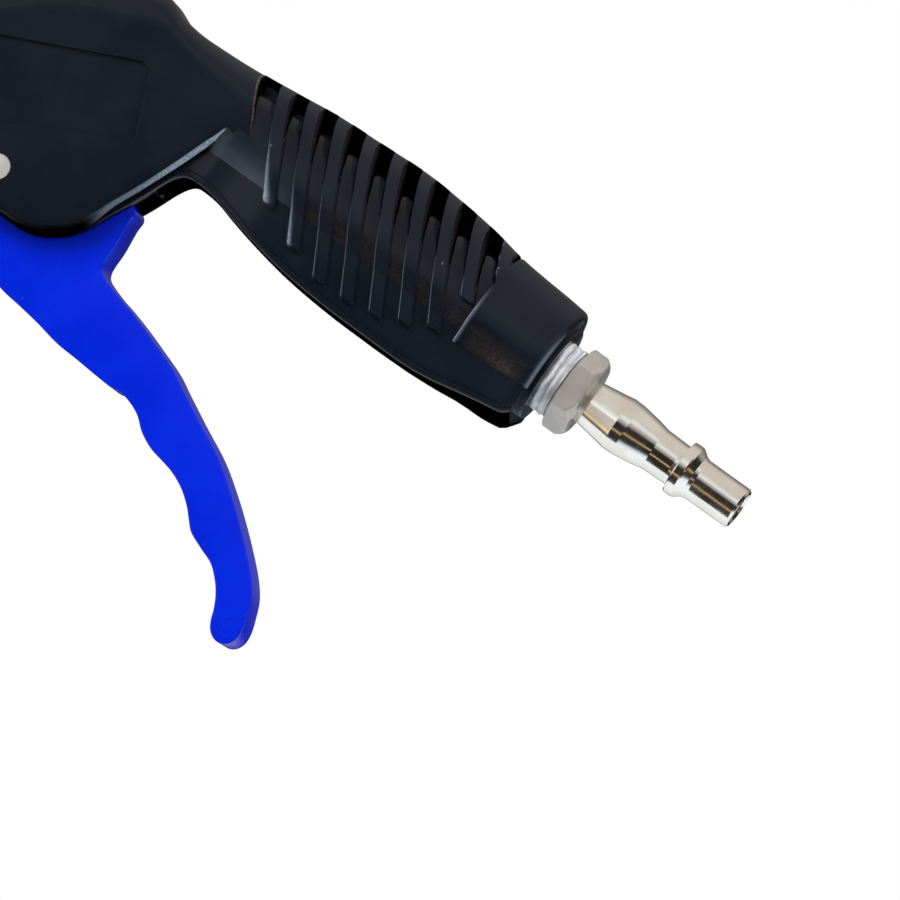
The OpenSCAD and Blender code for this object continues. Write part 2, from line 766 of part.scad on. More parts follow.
// profile of the plug as shares of its length outside the handle, with radii as shares of its nose
plug_share = [
  [1, 0.80], [0.998, 0.93], [0.988, 1], [0.785, 1], [0.765, 1.05], [0.735, 1.28], [0.728, 1.312],
  [0.694, 1.312], [0.688, 1.28], [0.686, 1.03], [0.670, 1.01], [0.590, 1.01], [0.560, 1.04],
  [0.520, 1.13], [0.480, 1.22], [0.440, 1.285], [0.397, 1.312], [0.360, 1.29], [0.320, 1.22],
  [0.280, 1.13], [0.240, 1.06], [0.215, 1.05]];

module inlet_plug() {
  hex_in = plug_out * 0.104;
  hex_t = plug_out * 0.105;
  color([0.80, 0.77, 0.70])
    in_frame()
      along_handle()
        difference() {
          union() {
            rotate_extrude($fn = fine)
              polygon(concat([[0, -plug_out]], [for (p = plug_share) [p[1] * nose_r, -p[0] * plug_out]],
                             [[nose_r * 1.05, -hex_in - hex_t + lap], [0, -hex_in - hex_t + lap]]));
            intersection() {
              translate([0, 0, -hex_in - hex_t])
                rotate([0, 0, 30])
                  cylinder(hex_t, r = hex_af / sqrt(3), $fn = 6);
              translate([0, 0, -hex_in - hex_t])
                cylinder(hex_t, r1 = hex_af * 0.5, r2 = hex_af * 0.5 + hex_t * 1.6, $fn = fine);
            }
            translate([0, 0, -hex_in - lap])
              cylinder(thread_in + hex_in + lap, r = root_r, $fn = fine);
          }
          translate([0, 0, -plug_out - cut])
            cylinder(plug_out + thread_in + 2 * cut, r = plug_bore, $fn = fine);
        }
}

// the tape follows the thread under it, so its outside is ridged
module thread_tape() {
  hex_in = plug_out * 0.104;
  turns = floor((thread_in + hex_in) / thread_pitch) - 1;
  color([0.93, 0.94, 0.95])
    in_frame()
      along_handle(-hex_in)
        rotate_extrude($fn = fine)
          polygon(concat([[root_r, thread_pitch * 0.3]],
                         [for (i = [0:turns]) each [
                           [thread_r - tape_dip, thread_pitch * (i + 0.3)],
                           [thread_r, thread_pitch * (i + 0.65)],
                           [thread_r, thread_pitch * (i + 0.85)]]],
                         [[root_r, thread_pitch * (turns + 0.85)]]));
}

module nozzle_adaptor() {
  color([0.78, 0.76, 0.70])
    in_frame()
      difference() {
        union() {
          along_nozzle(adaptor_back)
            cylinder(boss_front - adaptor_back + lap, r = adaptor_r, $fn = fine);
          along_nozzle(boss_front)
            cylinder(front_x + nut_gap - boss_front + lap, r = shoulder_r, $fn = fine);
          along_nozzle(front_x + nut_gap)
            cylinder(nut_len, r = nut_af / sqrt(3), $fn = 6);
          along_nozzle(front_x + nut_gap + nut_len - lap)
            cylinder(cone_len + lap, r1 = nut_af * 0.46, r2 = nozzle_r * 1.3, $fn = fine);
        }
        along_nozzle(adaptor_back - cut)
          cylinder(front_x * 3, r = nozzle_bore, $fn = fine);
        along_nozzle(nozzle_start - seat_gap)
          cylinder(nozzle_len, r = nozzle_r + run_gap, $fn = fine);
      }
}

module nozzle_tube() {
  color([0.16, 0.17, 0.19])
    in_frame()
      along_nozzle(nozzle_start)
        washer(nozzle_r, nozzle_bore, nozzle_len);
}

module nozzle_tip() {
  color([0.15, 0.16, 0.18])
    in_frame()
      along_nozzle(nozzle_end - tip_grip)
        difference() {
          rotate_extrude($fn = fine)
            polygon([[0, 0], [tip_r * 0.92, 0], [tip_r, tip_len * 0.05], [tip_r, tip_len * 0.62],
                     [tip_r * 0.94, tip_len * 0.74], [tip_r * 0.74, tip_len * 0.92], [tip_r * 0.6, tip_len],
                     [0, tip_len]]);
          translate([0, 0, -cut])
            cylinder(tip_grip + cut + seat_gap, r = nozzle_r + run_gap, $fn = fine);
          cylinder(tip_len + cut, r = orifice_r, $fn = fine);
        }
}

left_shell();
right_shell();
body_screws();
trigger();
trigger_pin();
valve_block();
valve_stem();
valve_poppet();
seat_seal();
valve_spring();
valve_cap();
stem_o_ring();
cap_o_ring();
inlet_insert();
tube_o_rings();
air_tube();
inlet_plug();
thread_tape();
nozzle_adaptor();
nozzle_o_ring();
nozzle_tube();
nozzle_tip();
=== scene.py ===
import math

import bmesh
import bpy
import numpy as np
from mathutils import Matrix, Vector


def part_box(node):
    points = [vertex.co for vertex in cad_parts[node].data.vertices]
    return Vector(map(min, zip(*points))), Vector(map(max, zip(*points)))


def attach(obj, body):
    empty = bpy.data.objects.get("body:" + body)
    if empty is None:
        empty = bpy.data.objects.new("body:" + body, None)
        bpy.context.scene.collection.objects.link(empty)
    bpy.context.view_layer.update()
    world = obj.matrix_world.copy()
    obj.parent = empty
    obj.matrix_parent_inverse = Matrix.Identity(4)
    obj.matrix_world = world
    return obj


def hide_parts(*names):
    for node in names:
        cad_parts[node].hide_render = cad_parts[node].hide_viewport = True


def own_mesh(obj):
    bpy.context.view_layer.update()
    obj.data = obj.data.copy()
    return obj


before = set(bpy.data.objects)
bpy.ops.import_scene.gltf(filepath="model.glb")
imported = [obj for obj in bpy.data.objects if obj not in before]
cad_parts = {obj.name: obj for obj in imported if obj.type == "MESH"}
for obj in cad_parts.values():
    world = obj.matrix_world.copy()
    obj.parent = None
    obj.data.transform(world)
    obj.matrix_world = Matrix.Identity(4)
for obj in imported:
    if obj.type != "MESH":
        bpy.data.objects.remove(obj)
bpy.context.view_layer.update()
print("stage: frame loaded")

mm = 0.001
pinPlace = np.array([16.0, 0.0, -40.4])      # trigger pin from the hang eye, in mm
handleStart = np.array([-97.85, -36.0])      # centre of the handle's end from the pin, in mm
handleTilt = math.radians(35.55)
axisAlong = np.array([math.cos(handleTilt), math.sin(handleTilt)])
axisBack = np.array([-math.sin(handleTilt), math.cos(handleTilt)])
nozzleHeight = 16.0                          # of the nozzle's axis over the pin, in mm
valveBack = 12.0                             # of the valve's axis behind the pin, in mm
seam = 0.02                                  # how far each half stays from the middle plane, in mm
merge = 1e-7                                 # points nearer than this become one, in metres


def smoothStep(low, high, x):
    # 0 at low, 1 at high, and 3t^2 - 2t^3 in between
    t = np.clip((x - low) / (high - low), 0, 1)
    return t * t * (3 - 2 * t)


def stepIn(span, x):
    # the first number of the span, which comes in smoothly from its second to its third
    return span[0] * smoothStep(*span[1:], x)


def hermite(t, a, b, slopeA, slopeB):
    # the cubic that leaves a with its slope and reaches b with its own, while t goes from 0 to 1
    return ((2 * t**3 - 3 * t**2 + 1) * a + (t**3 - 2 * t**2 + t) * slopeA
            + (3 * t**2 - 2 * t**3) * b + (t**3 - t**2) * slopeB)


def smoothLine(x, xs, ys):
    # cubics through the points: a slope is the mean of the two stretches beside it, or 0 at a peak
    xs, ys = np.asarray(xs, float), np.asarray(ys, float)
    steps = np.diff(ys) / np.diff(xs)
    slopes = np.concatenate([[steps[0]], (steps[:-1] + steps[1:]) / 2, [steps[-1]]])
    slopes[1:-1] = np.where(steps[:-1] * steps[1:] <= 0, 0, slopes[1:-1])
    x = np.clip(x, xs[0], xs[-1])
    i = np.clip(np.searchsorted(xs, x, side="right") - 1, 0, len(xs) - 2)
    h = xs[i + 1] - xs[i]
    return hermite((x - xs[i]) / h, ys[i], ys[i + 1], h * slopes[i], h * slopes[i + 1])


def evenSteps(points, count):
    # goes once round the closed line through the points in steps of equal length
    loop = np.vstack([points, points[:1]])
    along = np.concatenate([[0], np.cumsum(np.linalg.norm(np.diff(loop, axis=0), axis=1))])
    at = np.linspace(0, along[-1], count, endpoint=False)
    return np.stack([np.interp(at, along, loop[:, k]) for k in (0, 1)], axis=1)


def closedCurve(points, count):
    # a closed Catmull-Rom curve: cubics whose slopes are half the way between a point's neighbours
    p = np.asarray(points, float)
    t = np.linspace(0, 1, 16, endpoint=False)[None, :, None]
    a, b, c, d = (np.roll(p, k, axis=0)[:, None, :] for k in (1, 0, -1, -2))
    return evenSteps(hermite(t, b, c, (c - a) * 0.5, (d - b) * 0.5).reshape(-1, 2), count)


def inwardNormals(points):
    # the tangent at each point of a closed anticlockwise curve, turned a quarter turn to the left
    t = np.roll(points, -1, axis=0) - np.roll(points, 1, axis=0)
    t /= np.maximum(np.linalg.norm(t, axis=1, keepdims=True), 1e-9)
    return np.stack([-t[:, 1], t[:, 0]], axis=1)


def faceOutward(piece):
    # merges doubles and recalculates the normals so that they point out
    bm = bmesh.new()
    bm.from_mesh(piece.data)
    bmesh.ops.remove_doubles(bm, verts=bm.verts, dist=merge)
    bmesh.ops.recalc_face_normals(bm, faces=bm.faces)
    bm.to_mesh(piece.data)
    bm.free()


def shadeSoft(piece, sharp):
    piece.data.shade_smooth()
    piece.data.set_sharp_from_angle(angle=math.radians(sharp))


def makeMesh(name, points, faces, body=None, slot=None, material=None, sharp=32, closed=True,
             **values):
    # values are one number for each point: the sheen value is above 0 where a painted bluish white
    # highlight lies on an edge and below 0 where a painted tan reflection lies, and the shade value
    # is 1 where shade is painted dark in the hollows
    mesh = bpy.data.meshes.new(name)
    mesh.from_pydata(points.reshape(-1, 3).tolist(), [], faces)
    for label, value in values.items():
        layer = mesh.attributes.new(label, "FLOAT", "POINT")
        layer.data.foreach_set("value", value.ravel().astype(np.float32))
    mesh.validate()
    piece = bpy.data.objects.new(name, mesh)
    bpy.context.scene.collection.objects.link(piece)
    if material:
        mesh.materials.append(material)
    if closed:
        faceOutward(piece)
    shadeSoft(piece, sharp)
    if body:
        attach(piece, body)
    return piece


def loftFaces(rows, count, ends="capped"):
    # quads between neighbouring closed rings; the first and last ring get a flat face each when
    # they are capped, a strip between them when they are joined, and nothing when they are open
    last = rows if ends == "joined" else rows - 1
    j, i = np.meshgrid(np.arange(last), np.arange(count), indexing="ij")
    k, n = (i + 1) % count, (j + 1) % rows
    quads = np.stack([j * count + i, j * count + k, n * count + k, n * count + i], axis=-1)
    faces = quads.reshape(-1, 4).tolist()
    if ends == "capped":
        faces.append(list(range(count))[::-1])
        faces.append(list(range((rows - 1) * count, rows * count)))
    return faces


def makeLoft(name, points, body=None, slot=None, finish=None, sharp=32, ends="capped", **values):
    # a mesh over a grid of points, one closed ring in each row
    faces = loftFaces(*points.shape[:2], ends)
    return makeMesh(name, points, faces, body, slot, finish and materials[finish], sharp, **values)


def zipFaces(first, count, flip=False):
    # closes a ring whose two halves face each other with a strip of quads from side to side
    k = np.arange(count // 2)
    a, b = first + k, first + count - 1 - k
    quads = np.stack([a[:-1], a[1:], b[1:], b[:-1]], axis=1).tolist()
    return [f[::-1] for f in quads] if flip else quads


def toFrame(x, y, z):
    # millimetres from the trigger pin to metres from the hang eye
    return np.stack([x + pinPlace[0], y + 0 * x, z + pinPlace[2]], axis=-1) * mm


def alongHandle(u, v, y):
    # u runs up the handle's axis from its end face and v behind it
    return toFrame(handleStart[0] + u * axisAlong[0] + v * axisBack[0], y,
                   handleStart[1] + u * axisAlong[1] + v * axisBack[1])


def onNozzle(along, c, s):
    return toFrame(along, s, nozzleHeight + c)


def onValve(along, c, s):
    return toFrame(c - valveBack, s, along)


def acrossAt(x, z):
    return lambda along, c, s: toFrame(x + c, along, z + s)


def stacked(rings):
    # flat outlines of (x, z) points, each with its own y, as the rows of a grid
    return np.stack([toFrame(p[:, 0], y, p[:, 1]) for p, y in rings])


def turned(profile, count, place):
    # each profile point (distance along the axis, radius) is swung once round the axis
    p = np.asarray(profile, float)
    a = np.linspace(0, 2 * np.pi, count, endpoint=False)
    along = np.repeat(p[:, :1], count, axis=1)
    return place(along, p[:, 1:] * np.cos(a), p[:, 1:] * np.sin(a))


def carve(piece, cutters, sharp):
    # cuts each closed shape out of the piece in turn and keeps the result as its mesh; the quick
    # solver steps in where the exact one leaves less than half of the faces
    for cutter in cutters:
        before = len(piece.data.polygons)
        for solver in ("EXACT", "FAST"):
            mod = piece.modifiers.new("carve", "BOOLEAN")
            mod.operation = "DIFFERENCE"
            mod.solver = solver
            mod.object = cutter
            bpy.context.view_layer.update()
            dg = bpy.context.evaluated_depsgraph_get()
            result = bpy.data.meshes.new_from_object(piece.evaluated_get(dg))
            piece.modifiers.clear()
            if len(result.polygons) > before / 2:
                old = piece.data
                piece.data = result
                bpy.data.meshes.remove(old)
                break
            print("note:", solver, "left", len(result.polygons), "of", before, "in", piece.name)
    faceOutward(piece)
    shadeSoft(piece, sharp)


def dropCutters(cutters):
    for cutter in cutters:
        bpy.data.objects.remove(cutter)


view = {
    "toward": (-0.107, 0.989, -0.101),   # from the aim to the camera
    "distance": 1.553,
    "aim": (-0.0645, 0.0, -0.0903),
    "lens": 348.8, "sensor": 36,
    "roll": 0.0093,
    "clip": (0.05, 20),
}


def setCamera():
    camera = bpy.data.objects.new("photoCamera", bpy.data.cameras.new("photoCamera"))
    bpy.context.scene.collection.objects.link(camera)
    toward = np.array(view["toward"]) / np.linalg.norm(view["toward"])
    side = np.cross([0, 0, 1], toward)
    side /= np.linalg.norm(side)
    up = np.cross(toward, side)
    turn, lift = math.cos(view["roll"]), math.sin(view["roll"])
    side, up = side * turn + up * lift, up * turn - side * lift
    place = np.array(view["aim"]) + toward * view["distance"]
    axes = np.stack([side, up, toward, place], axis=1)
    camera.matrix_world = Matrix(axes.tolist() + [[0, 0, 0, 1]])
    camera.data.lens = view["lens"]
    camera.data.sensor_width = view["sensor"]
    camera.data.clip_start, camera.data.clip_end = view["clip"]
    bpy.context.scene.camera = camera


lights = {
    "leftSide": {"place": (1.35, 0.25, 0.30), "size": 0.7, "power": 12.0},
    "rightSide": {"place": (-1.3, 0.55, -0.10), "size": 0.8, "power": 12.0},
    "front": {"place": (0.25, 1.3, 1.3), "size": 1.0, "power": 22.0},
}
lightAim = Vector((-0.06, 0, -0.09))


def setLights():
    # round lamps that light the object but aren't mirrored in it
    for name, spec in lights.items():
        lamp = bpy.data.lights.new(name, "AREA")
        lamp.shape = "DISK"
        lamp.size = spec["size"]
        lamp.energy = spec["power"]
        holder = bpy.data.objects.new(name, lamp)
        bpy.context.scene.collection.objects.link(holder)
        place = Vector(spec["place"])
        holder.location = place
        holder.visible_glossy = False
        holder.rotation_euler = (lightAim - place).to_track_quat("-Z", "Y").to_euler()


def link(tree, source, socket):
    # joins a node's output to the socket, or writes a plain value into it
    if hasattr(source, "is_output"):
        tree.links.new(source, socket)
    elif socket.type == "RGBA":
        socket.default_value = (*source, 1)
    else:
        socket.default_value = source


def feed(tree, node, settings):
    # each setting is one of the node's own properties, or goes to its input of that name
    for key, value in settings.items():
        if hasattr(node, key):
            setattr(node, key, value)
        else:
            link(tree, value, node.inputs[key])
    return node


def addNode(tree, kind, settings=None):
    return feed(tree, tree.nodes.new(kind), settings or {})


def mathNode(tree, operation, a, b, clamp=False):
    node = addNode(tree, "ShaderNodeMath", {"operation": operation, "use_clamp": clamp})
    link(tree, a, node.inputs[0])
    link(tree, b, node.inputs[1])
    return node.outputs[0]


def spanNode(tree, value, low, high, toLow=0.0, toHigh=1.0):
    # goes smoothly from toLow to toHigh while the value goes from low to high
    span = {"interpolation_type": "SMOOTHSTEP", "Value": value, "From Min": low, "From Max": high,
            "To Min": toLow, "To Max": toHigh}
    return addNode(tree, "ShaderNodeMapRange", span).outputs[0]


def mixColor(tree, mask, a, b):
    node = addNode(tree, "ShaderNodeMix", {"data_type": "RGBA", "Factor": mask})
    for value, socket in zip((a, b), [s for s in node.inputs if s.type == "RGBA"]):
        link(tree, value, socket)
    return [s for s in node.outputs if s.type == "RGBA"][0]


world = {
    "tint": (0.96, 0.91, 0.84),      # of all lights that have no colour of their own below
    "cool": (0.74, 0.87, 1.0),
    "warm": (1.0, 0.70, 0.32),
    "front": 0.025,                  # level where there is no light
    # each light has its level and, for each axis that bounds it, where it is none and where it is
    # full: above is broad, behind is faint, strip is the lower edge of above, side is a patch under
    # it that only parts turned to the right mirror, below is low in front, ahead is toward the
    # nozzle, for the plug's flare and the ribs' front edges, and line is thin, in the dark front
    "lights": {
        "above": (0.68, ("up", 0.16, 0.36), ("forward", -0.9, -0.2)),
        "behind": (0.16, ("forward", -0.35, -0.80), ("up", -0.05, 0.12)),
        "strip": (0.32, ("up", 0.16, 0.26), ("up", 0.58, 0.40), ("forward", 0.5, 0.75)),
        "side": (0.42, ("up", 0.02, 0.10), ("up", 0.26, 0.16), ("left", 0.10, 0.05),
                 ("forward", 0.5, 0.75)),
        "below": (1.2, ("up", -0.72, -0.86), ("forward", -0.3, 0.2)),
        "ahead": (0.7, ("along", 0.36, 0.41), ("up", -0.72, -0.60), ("up", 0.40, 0.24),
                  ("forward", 0.1, 0.4)),
        "line": (0.8, ("up", -0.46, -0.43), ("up", -0.37, -0.40), ("forward", 0.0, 0.4)),
    },
    # which lights have a colour of their own, and how soon it is full
    "colors": (("strip", 1.6, "cool"), ("below", 1.0, "cool"), ("line", 2.0, "warm")),
}


def setWorld():
    # what the object mirrors: a dark room with the lights of the dictionary, each the product of
    # its level and a smooth step along each axis; the camera itself sees plain white
    sky = bpy.data.worlds.new("studio")
    bpy.context.scene.world = sky
    sky.use_nodes = True
    tree = sky.node_tree
    tree.nodes.clear()
    place = addNode(tree, "ShaderNodeTexCoord").outputs["Generated"]
    split = addNode(tree, "ShaderNodeSeparateXYZ", {"Vector": place}).outputs
    axes = {"left": split["X"], "forward": split["Y"], "up": split["Z"]}
    axes["along"] = mathNode(tree, "ADD", mathNode(tree, "MULTIPLY", axes["left"], axisAlong[0]),
                             mathNode(tree, "MULTIPLY", axes["up"], axisAlong[1]))
    level, zones = world["front"], {}
    for name, (strength, *spans) in world["lights"].items():
        zones[name] = strength
        for axis, low, high in spans:
            step = spanNode(tree, axes[axis], low, high)
            zones[name] = mathNode(tree, "MULTIPLY", step, zones[name])
        level = mathNode(tree, "ADD", zones[name], level)
    tone = world["tint"]
    for name, rate, color in world["colors"]:
        share = mathNode(tree, "MULTIPLY", zones[name], rate, clamp=True)
        tone = mixColor(tree, share, tone, world[color])
    soft = addNode(tree, "ShaderNodeBackground", {"Color": tone, "Strength": level})
    white = addNode(tree, "ShaderNodeBackground", {"Color": (1, 1, 1), "Strength": 1.0})
    mix = addNode(tree, "ShaderNodeMixShader")
    link(tree, addNode(tree, "ShaderNodeLightPath").outputs["Is Camera Ray"], mix.inputs[0])
    link(tree, soft.outputs[0], mix.inputs[1])
    link(tree, white.outputs[0], mix.inputs[2])
    addNode(tree, "ShaderNodeOutputWorld", {"Surface": mix.outputs[0]})


ground = {"wide": 0.8, "back": -0.9, "front": 0.06, "height": -0.30, "color": (0.80, 0.87, 0.93),
          "rough": 0.7}


def newMaterial(name):
    mat = bpy.data.materials.new(name)
    mat.use_nodes = True
    return mat, mat.node_tree, mat.node_tree.nodes["Principled BSDF"]


def setFloor():
    mat, tree, shader = newMaterial("paleFloor")
    feed(tree, shader, {"Base Color": ground["color"], "Roughness": ground["rough"]})
    wide, back, front, height = (ground[key] for key in ("wide", "back", "front", "height"))
    corners = np.array([[-wide, back, height], [wide, back, height], [wide, front, height],
                        [-wide, front, height]])
    floor = makeMesh("floor", corners, [[0, 1, 2, 3]], material=mat, closed=False)


bpy.context.scene.view_settings.view_transform = "Standard"
setCamera()
setLights()
setWorld()
setFloor()
print("stage: camera, light and floor")


def newGroup(name, inputs, outputs):
    # inputs are numbers by name, with None for a place, and outputs are masks and heights
    group = bpy.data.node_groups.new(name, "ShaderNodeTree")
    for label, value in inputs.items():
        kind = "NodeSocketVector" if value is None else "NodeSocketFloat"
        socket = group.interface.new_socket(label, in_out="INPUT", socket_type=kind)
        if value is not None:
            socket.default_value = value
    for label in outputs:
        group.interface.new_socket(label, in_out="OUTPUT", socket_type="NodeSocketFloat")
    return group, addNode(group, "NodeGroupInput").outputs, addNode(group, "NodeGroupOutput").inputs


def useGroup(tree, group, values):
    return addNode(tree, "ShaderNodeGroup", {"node_tree": group, **values}).outputs


def makeGrainGroup():
    # fine moulded texture: two noises of different size, as a height and as a slow change of tone
    group, given, out = newGroup("mouldGrain", {"Place": None, "Grain": 3000.0, "Cloud": 60.0},
                                 ("Height", "Cloudiness"))
    for label, detail, result in (("Grain", 2.0, "Height"), ("Cloud", 4.0, "Cloudiness")):
        noise = addNode(group, "ShaderNodeTexNoise", {"Vector": given["Place"],
                                                      "Scale": given[label], "Detail": detail})
        link(group, noise.outputs["Fac"], out[result])
    return group


def makeSpeckGroup():
    # scattered dust specks: the inner part of a few cells of a Voronoi pattern
    group, given, out = newGroup("dustSpecks", {"Place": None, "Cells": 420.0, "Size": 0.12,
                                                "Share": 0.06}, ("Mask",))
    cells = addNode(group, "ShaderNodeTexVoronoi", {"Vector": given["Place"],
                                                    "Scale": given["Cells"]}).outputs
    split = addNode(group, "ShaderNodeSeparateColor", {"Color": cells["Color"]})
    near = mathNode(group, "LESS_THAN", cells["Distance"], given["Size"])
    few = mathNode(group, "LESS_THAN", split.outputs[0], given["Share"])
    link(group, mathNode(group, "MULTIPLY", near, few), out["Mask"])
    return group


def makePaintedSheenGroup():
    # the sheen value split in two masks, both broken up by a fine noise: painted bluish white
    # highlights above 0, painted tan reflections below. The noise counts more the higher the value
    # is, so that faint tones stay even
    group, given, out = newGroup("wornEdges", {"PaintedSheen": 0.0, "Place": None}, ("Bright", "Tan"))
    noise = addNode(group, "ShaderNodeTexNoise", {"Vector": given["Place"], "Scale": 1900.0,
                                                  "Detail": 3.0, "Roughness": 0.55})
    grain, worn = noise.outputs["Fac"], given["PaintedSheen"]
    rough = mathNode(group, "MULTIPLY", worn, spanNode(group, grain, 0.30, 0.62, -0.6, 0.15))
    bright = mathNode(group, "MULTIPLY", worn, mathNode(group, "ADD", rough, 1.0), clamp=True)
    tan = mathNode(group, "MULTIPLY", worn, spanNode(group, grain, 0.35, 0.65, -0.35, -1.3),
                   clamp=True)
    link(group, bright, out["Bright"])
    link(group, tan, out["Tan"])
    return group


grainGroup = makeGrainGroup()
speckGroup = makeSpeckGroup()
wornGroup = makePaintedSheenGroup()

# base and cloud are the two tones that a slow noise mixes, rough is the span of the roughness,
# grain is the fine noise's scale and depth the height of its bumps in metres, and specks is the
# share of cells that hold a speck
plastics = {
    "housingBlack": {"base": (0.0056, 0.0078, 0.0140), "cloud": (0.0078, 0.0102, 0.0172),
                     "rough": (0.17, 0.26), "grain": 2600.0, "depth": 0.00003,
                     "specks": 0.05, "speck": (0.05, 0.055, 0.06)},
    "gripBlack": {"base": (0.0060, 0.0082, 0.0145), "cloud": (0.0082, 0.0108, 0.0178),
                  "rough": (0.17, 0.26), "grain": 2600.0, "depth": 0.00003,
                  "specks": 0.07, "speck": (0.06, 0.065, 0.07)},
    "triggerBlue": {"base": (0.0002, 0.016, 0.62), "cloud": (0.0004, 0.020, 0.69),
                    "rough": (0.20, 0.30), "grain": 2200.0, "depth": 0.00003,
                    "specks": 0.03, "speck": (0.01, 0.03, 0.50)},
    "nozzleBlack": {"base": (0.010, 0.011, 0.014), "cloud": (0.014, 0.015, 0.019),
                    "rough": (0.20, 0.30), "grain": 2600.0, "depth": 0.00002,
                    "specks": 0.02, "speck": (0.08, 0.09, 0.10)},
    "rubberBlack": {"base": (0.010, 0.010, 0.010), "cloud": (0.016, 0.016, 0.016),
                    "rough": (0.55, 0.70), "grain": 3500.0, "depth": 0.00002,
                    "specks": 0.02, "speck": (0.05, 0.05, 0.05)},
    "nylonTube": {"base": (0.62, 0.66, 0.70), "cloud": (0.72, 0.75, 0.78),
                  "rough": (0.25, 0.35), "grain": 1800.0, "depth": 0.00002,
                  "specks": 0.0, "speck": (0.5, 0.5, 0.5)},
}
# painted light on the black plastics: bright is the colour of painted bluish white highlights, tan
# of painted tan reflections, and hollow of the painted shade in the hollows
paintedLight = {
    "on": ("housingBlack", "gripBlack"),
    "bright": (0.29, 0.37, 0.46), "tan": (0.13, 0.088, 0.055), "hollow": (0.0008, 0.0006, 0.0008),
}
plasticShine = 0.17      # specular level, which fades to nothing where shade is painted in the hollows


def bumpNode(tree, height, depth, strength):
    bump = {"Distance": depth, "Strength": strength, "Height": height}
    return addNode(tree, "ShaderNodeBump", bump).outputs[0]


def objectPlace(tree):
    return addNode(tree, "ShaderNodeTexCoord").outputs["Object"]


def pointValue(tree, label):
    return addNode(tree, "ShaderNodeAttribute", {"attribute_name": label}).outputs["Fac"]


def makePlastic(name):
    spec = plastics[name]
    mat, tree, shader = newMaterial(name)
    place = objectPlace(tree)
    grain = useGroup(tree, grainGroup, {"Place": place, "Grain": spec["grain"], "Cloud": 70.0})
    specks = useGroup(tree, speckGroup, {"Place": place, "Share": spec["specks"]})
    cloud = spanNode(tree, grain["Cloudiness"], 0.35, 0.68)
    tone = mixColor(tree, cloud, spec["base"], spec["cloud"])
    tone = mixColor(tree, specks["Mask"], tone, spec["speck"])
    shine = plasticShine
    if name in paintedLight["on"]:
        # painted highlights, painted tan reflections and painted shade in the hollows go into the
        # tone, and the painted shade also takes the shine away
        edges = useGroup(tree, wornGroup, {"PaintedSheen": pointValue(tree, "worn"), "Place": place})
        deep = pointValue(tree, "deep")
        for mask, color in ((edges["Bright"], "bright"), (edges["Tan"], "tan"), (deep, "hollow")):
            tone = mixColor(tree, mask, tone, paintedLight[color])
        shine = spanNode(tree, deep, 0.0, 1.0, plasticShine, 0.0)
    feed(tree, shader, {
        "Base Color": tone, "Specular IOR Level": shine,
        "Roughness": spanNode(tree, grain["Cloudiness"], 0.3, 0.7, *spec["rough"]),
        "Normal": bumpNode(tree, grain["Height"], spec["depth"], 0.5),
    })
    return mat


metals = {
    "nickel": {"base": (0.84, 0.79, 0.72), "tint": (0.93, 0.90, 0.85), "rough": (0.10, 0.20),
               "grain": 5200.0, "metallic": 1.0},
    "hexNickel": {"base": (0.46, 0.43, 0.395), "tint": (0.54, 0.51, 0.47), "rough": (0.30, 0.44),
                  "grain": 2000.0, "metallic": 0.55},
    "brass": {"base": (0.50, 0.34, 0.12), "tint": (0.62, 0.44, 0.18), "rough": (0.22, 0.36),
              "grain": 3000.0, "metallic": 1.0},
    "zincSteel": {"base": (0.60, 0.59, 0.56), "tint": (0.72, 0.71, 0.68), "rough": (0.22, 0.34),
                  "grain": 3000.0, "metallic": 0.35},
}


def makeMetal(name):
    spec = metals[name]
    mat, tree, shader = newMaterial(name)
    grain = useGroup(tree, grainGroup, {"Place": objectPlace(tree), "Grain": spec["grain"],
                                        "Cloud": 220.0})
    cloud = spanNode(tree, grain["Cloudiness"], 0.35, 0.7)
    feed(tree, shader, {
        "Base Color": mixColor(tree, cloud, spec["base"], spec["tint"]),
        "Roughness": spanNode(tree, grain["Cloudiness"], 0.3, 0.7, *spec["rough"]),
        "Normal": bumpNode(tree, grain["Height"], 0.00001, 0.4),
        "Metallic": spec["metallic"],
    })
    return mat


# base is the bluish grey of the painted shade in the tape's folds, folds is the tape's own white
tapeFinish = {"base": (0.62, 0.66, 0.72), "folds": (0.90, 0.92, 0.95), "depth": 0.0004,
              "rough": 0.45, "sheen": 0.2}


def makeTapeFinish(name):
    mat, tree, shader = newMaterial(name)
    grain = useGroup(tree, grainGroup, {"Place": objectPlace(tree), "Grain": 1500.0,
                                        "Cloud": 260.0})
    # the low parts of the bumps get the bluish grey base as painted shade in the folds, the high
    # parts the tape's white
    folds = spanNode(tree, grain["Cloudiness"], 0.38, 0.62)
    feed(tree, shader, {
        "Base Color": mixColor(tree, folds, tapeFinish["base"], tapeFinish["folds"]),
        "Normal": bumpNode(tree, grain["Cloudiness"], tapeFinish["depth"], 0.6),
        "Roughness": tapeFinish["rough"], "Sheen Weight": tapeFinish["sheen"],
    })
    return mat


materials = {name: makePlastic(name) for name in plastics}
materials.update({name: makeMetal(name) for name in metals})
materials["threadTape"] = makeTapeFinish("threadTape")

nodeFinish = {
    "body_screws": "zincSteel", "trigger_pin": "zincSteel", "valve_block": "brass",
    "valve_stem": "zincSteel", "valve_poppet": "brass", "seat_seal": "rubberBlack",
    "valve_spring": "zincSteel", "valve_cap": "brass", "stem_o_ring": "rubberBlack",
    "cap_o_ring": "rubberBlack", "inlet_insert": "brass", "tube_o_rings": "rubberBlack",
    "air_tube": "nylonTube", "inlet_plug": "nickel", "thread_tape": "threadTape",
    "nozzle_adaptor": "hexNickel", "nozzle_o_ring": "rubberBlack", "nozzle_tube": "nozzleBlack",
    "nozzle_tip": "nozzleBlack", "trigger": "triggerBlue", "left_shell": "housingBlack",
    "right_shell": "housingBlack",
}
for nodeName, finish in nodeFinish.items():
    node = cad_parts[nodeName]
    node.data.materials.clear()
    node.data.materials.append(materials[finish])
print("stage: materials")

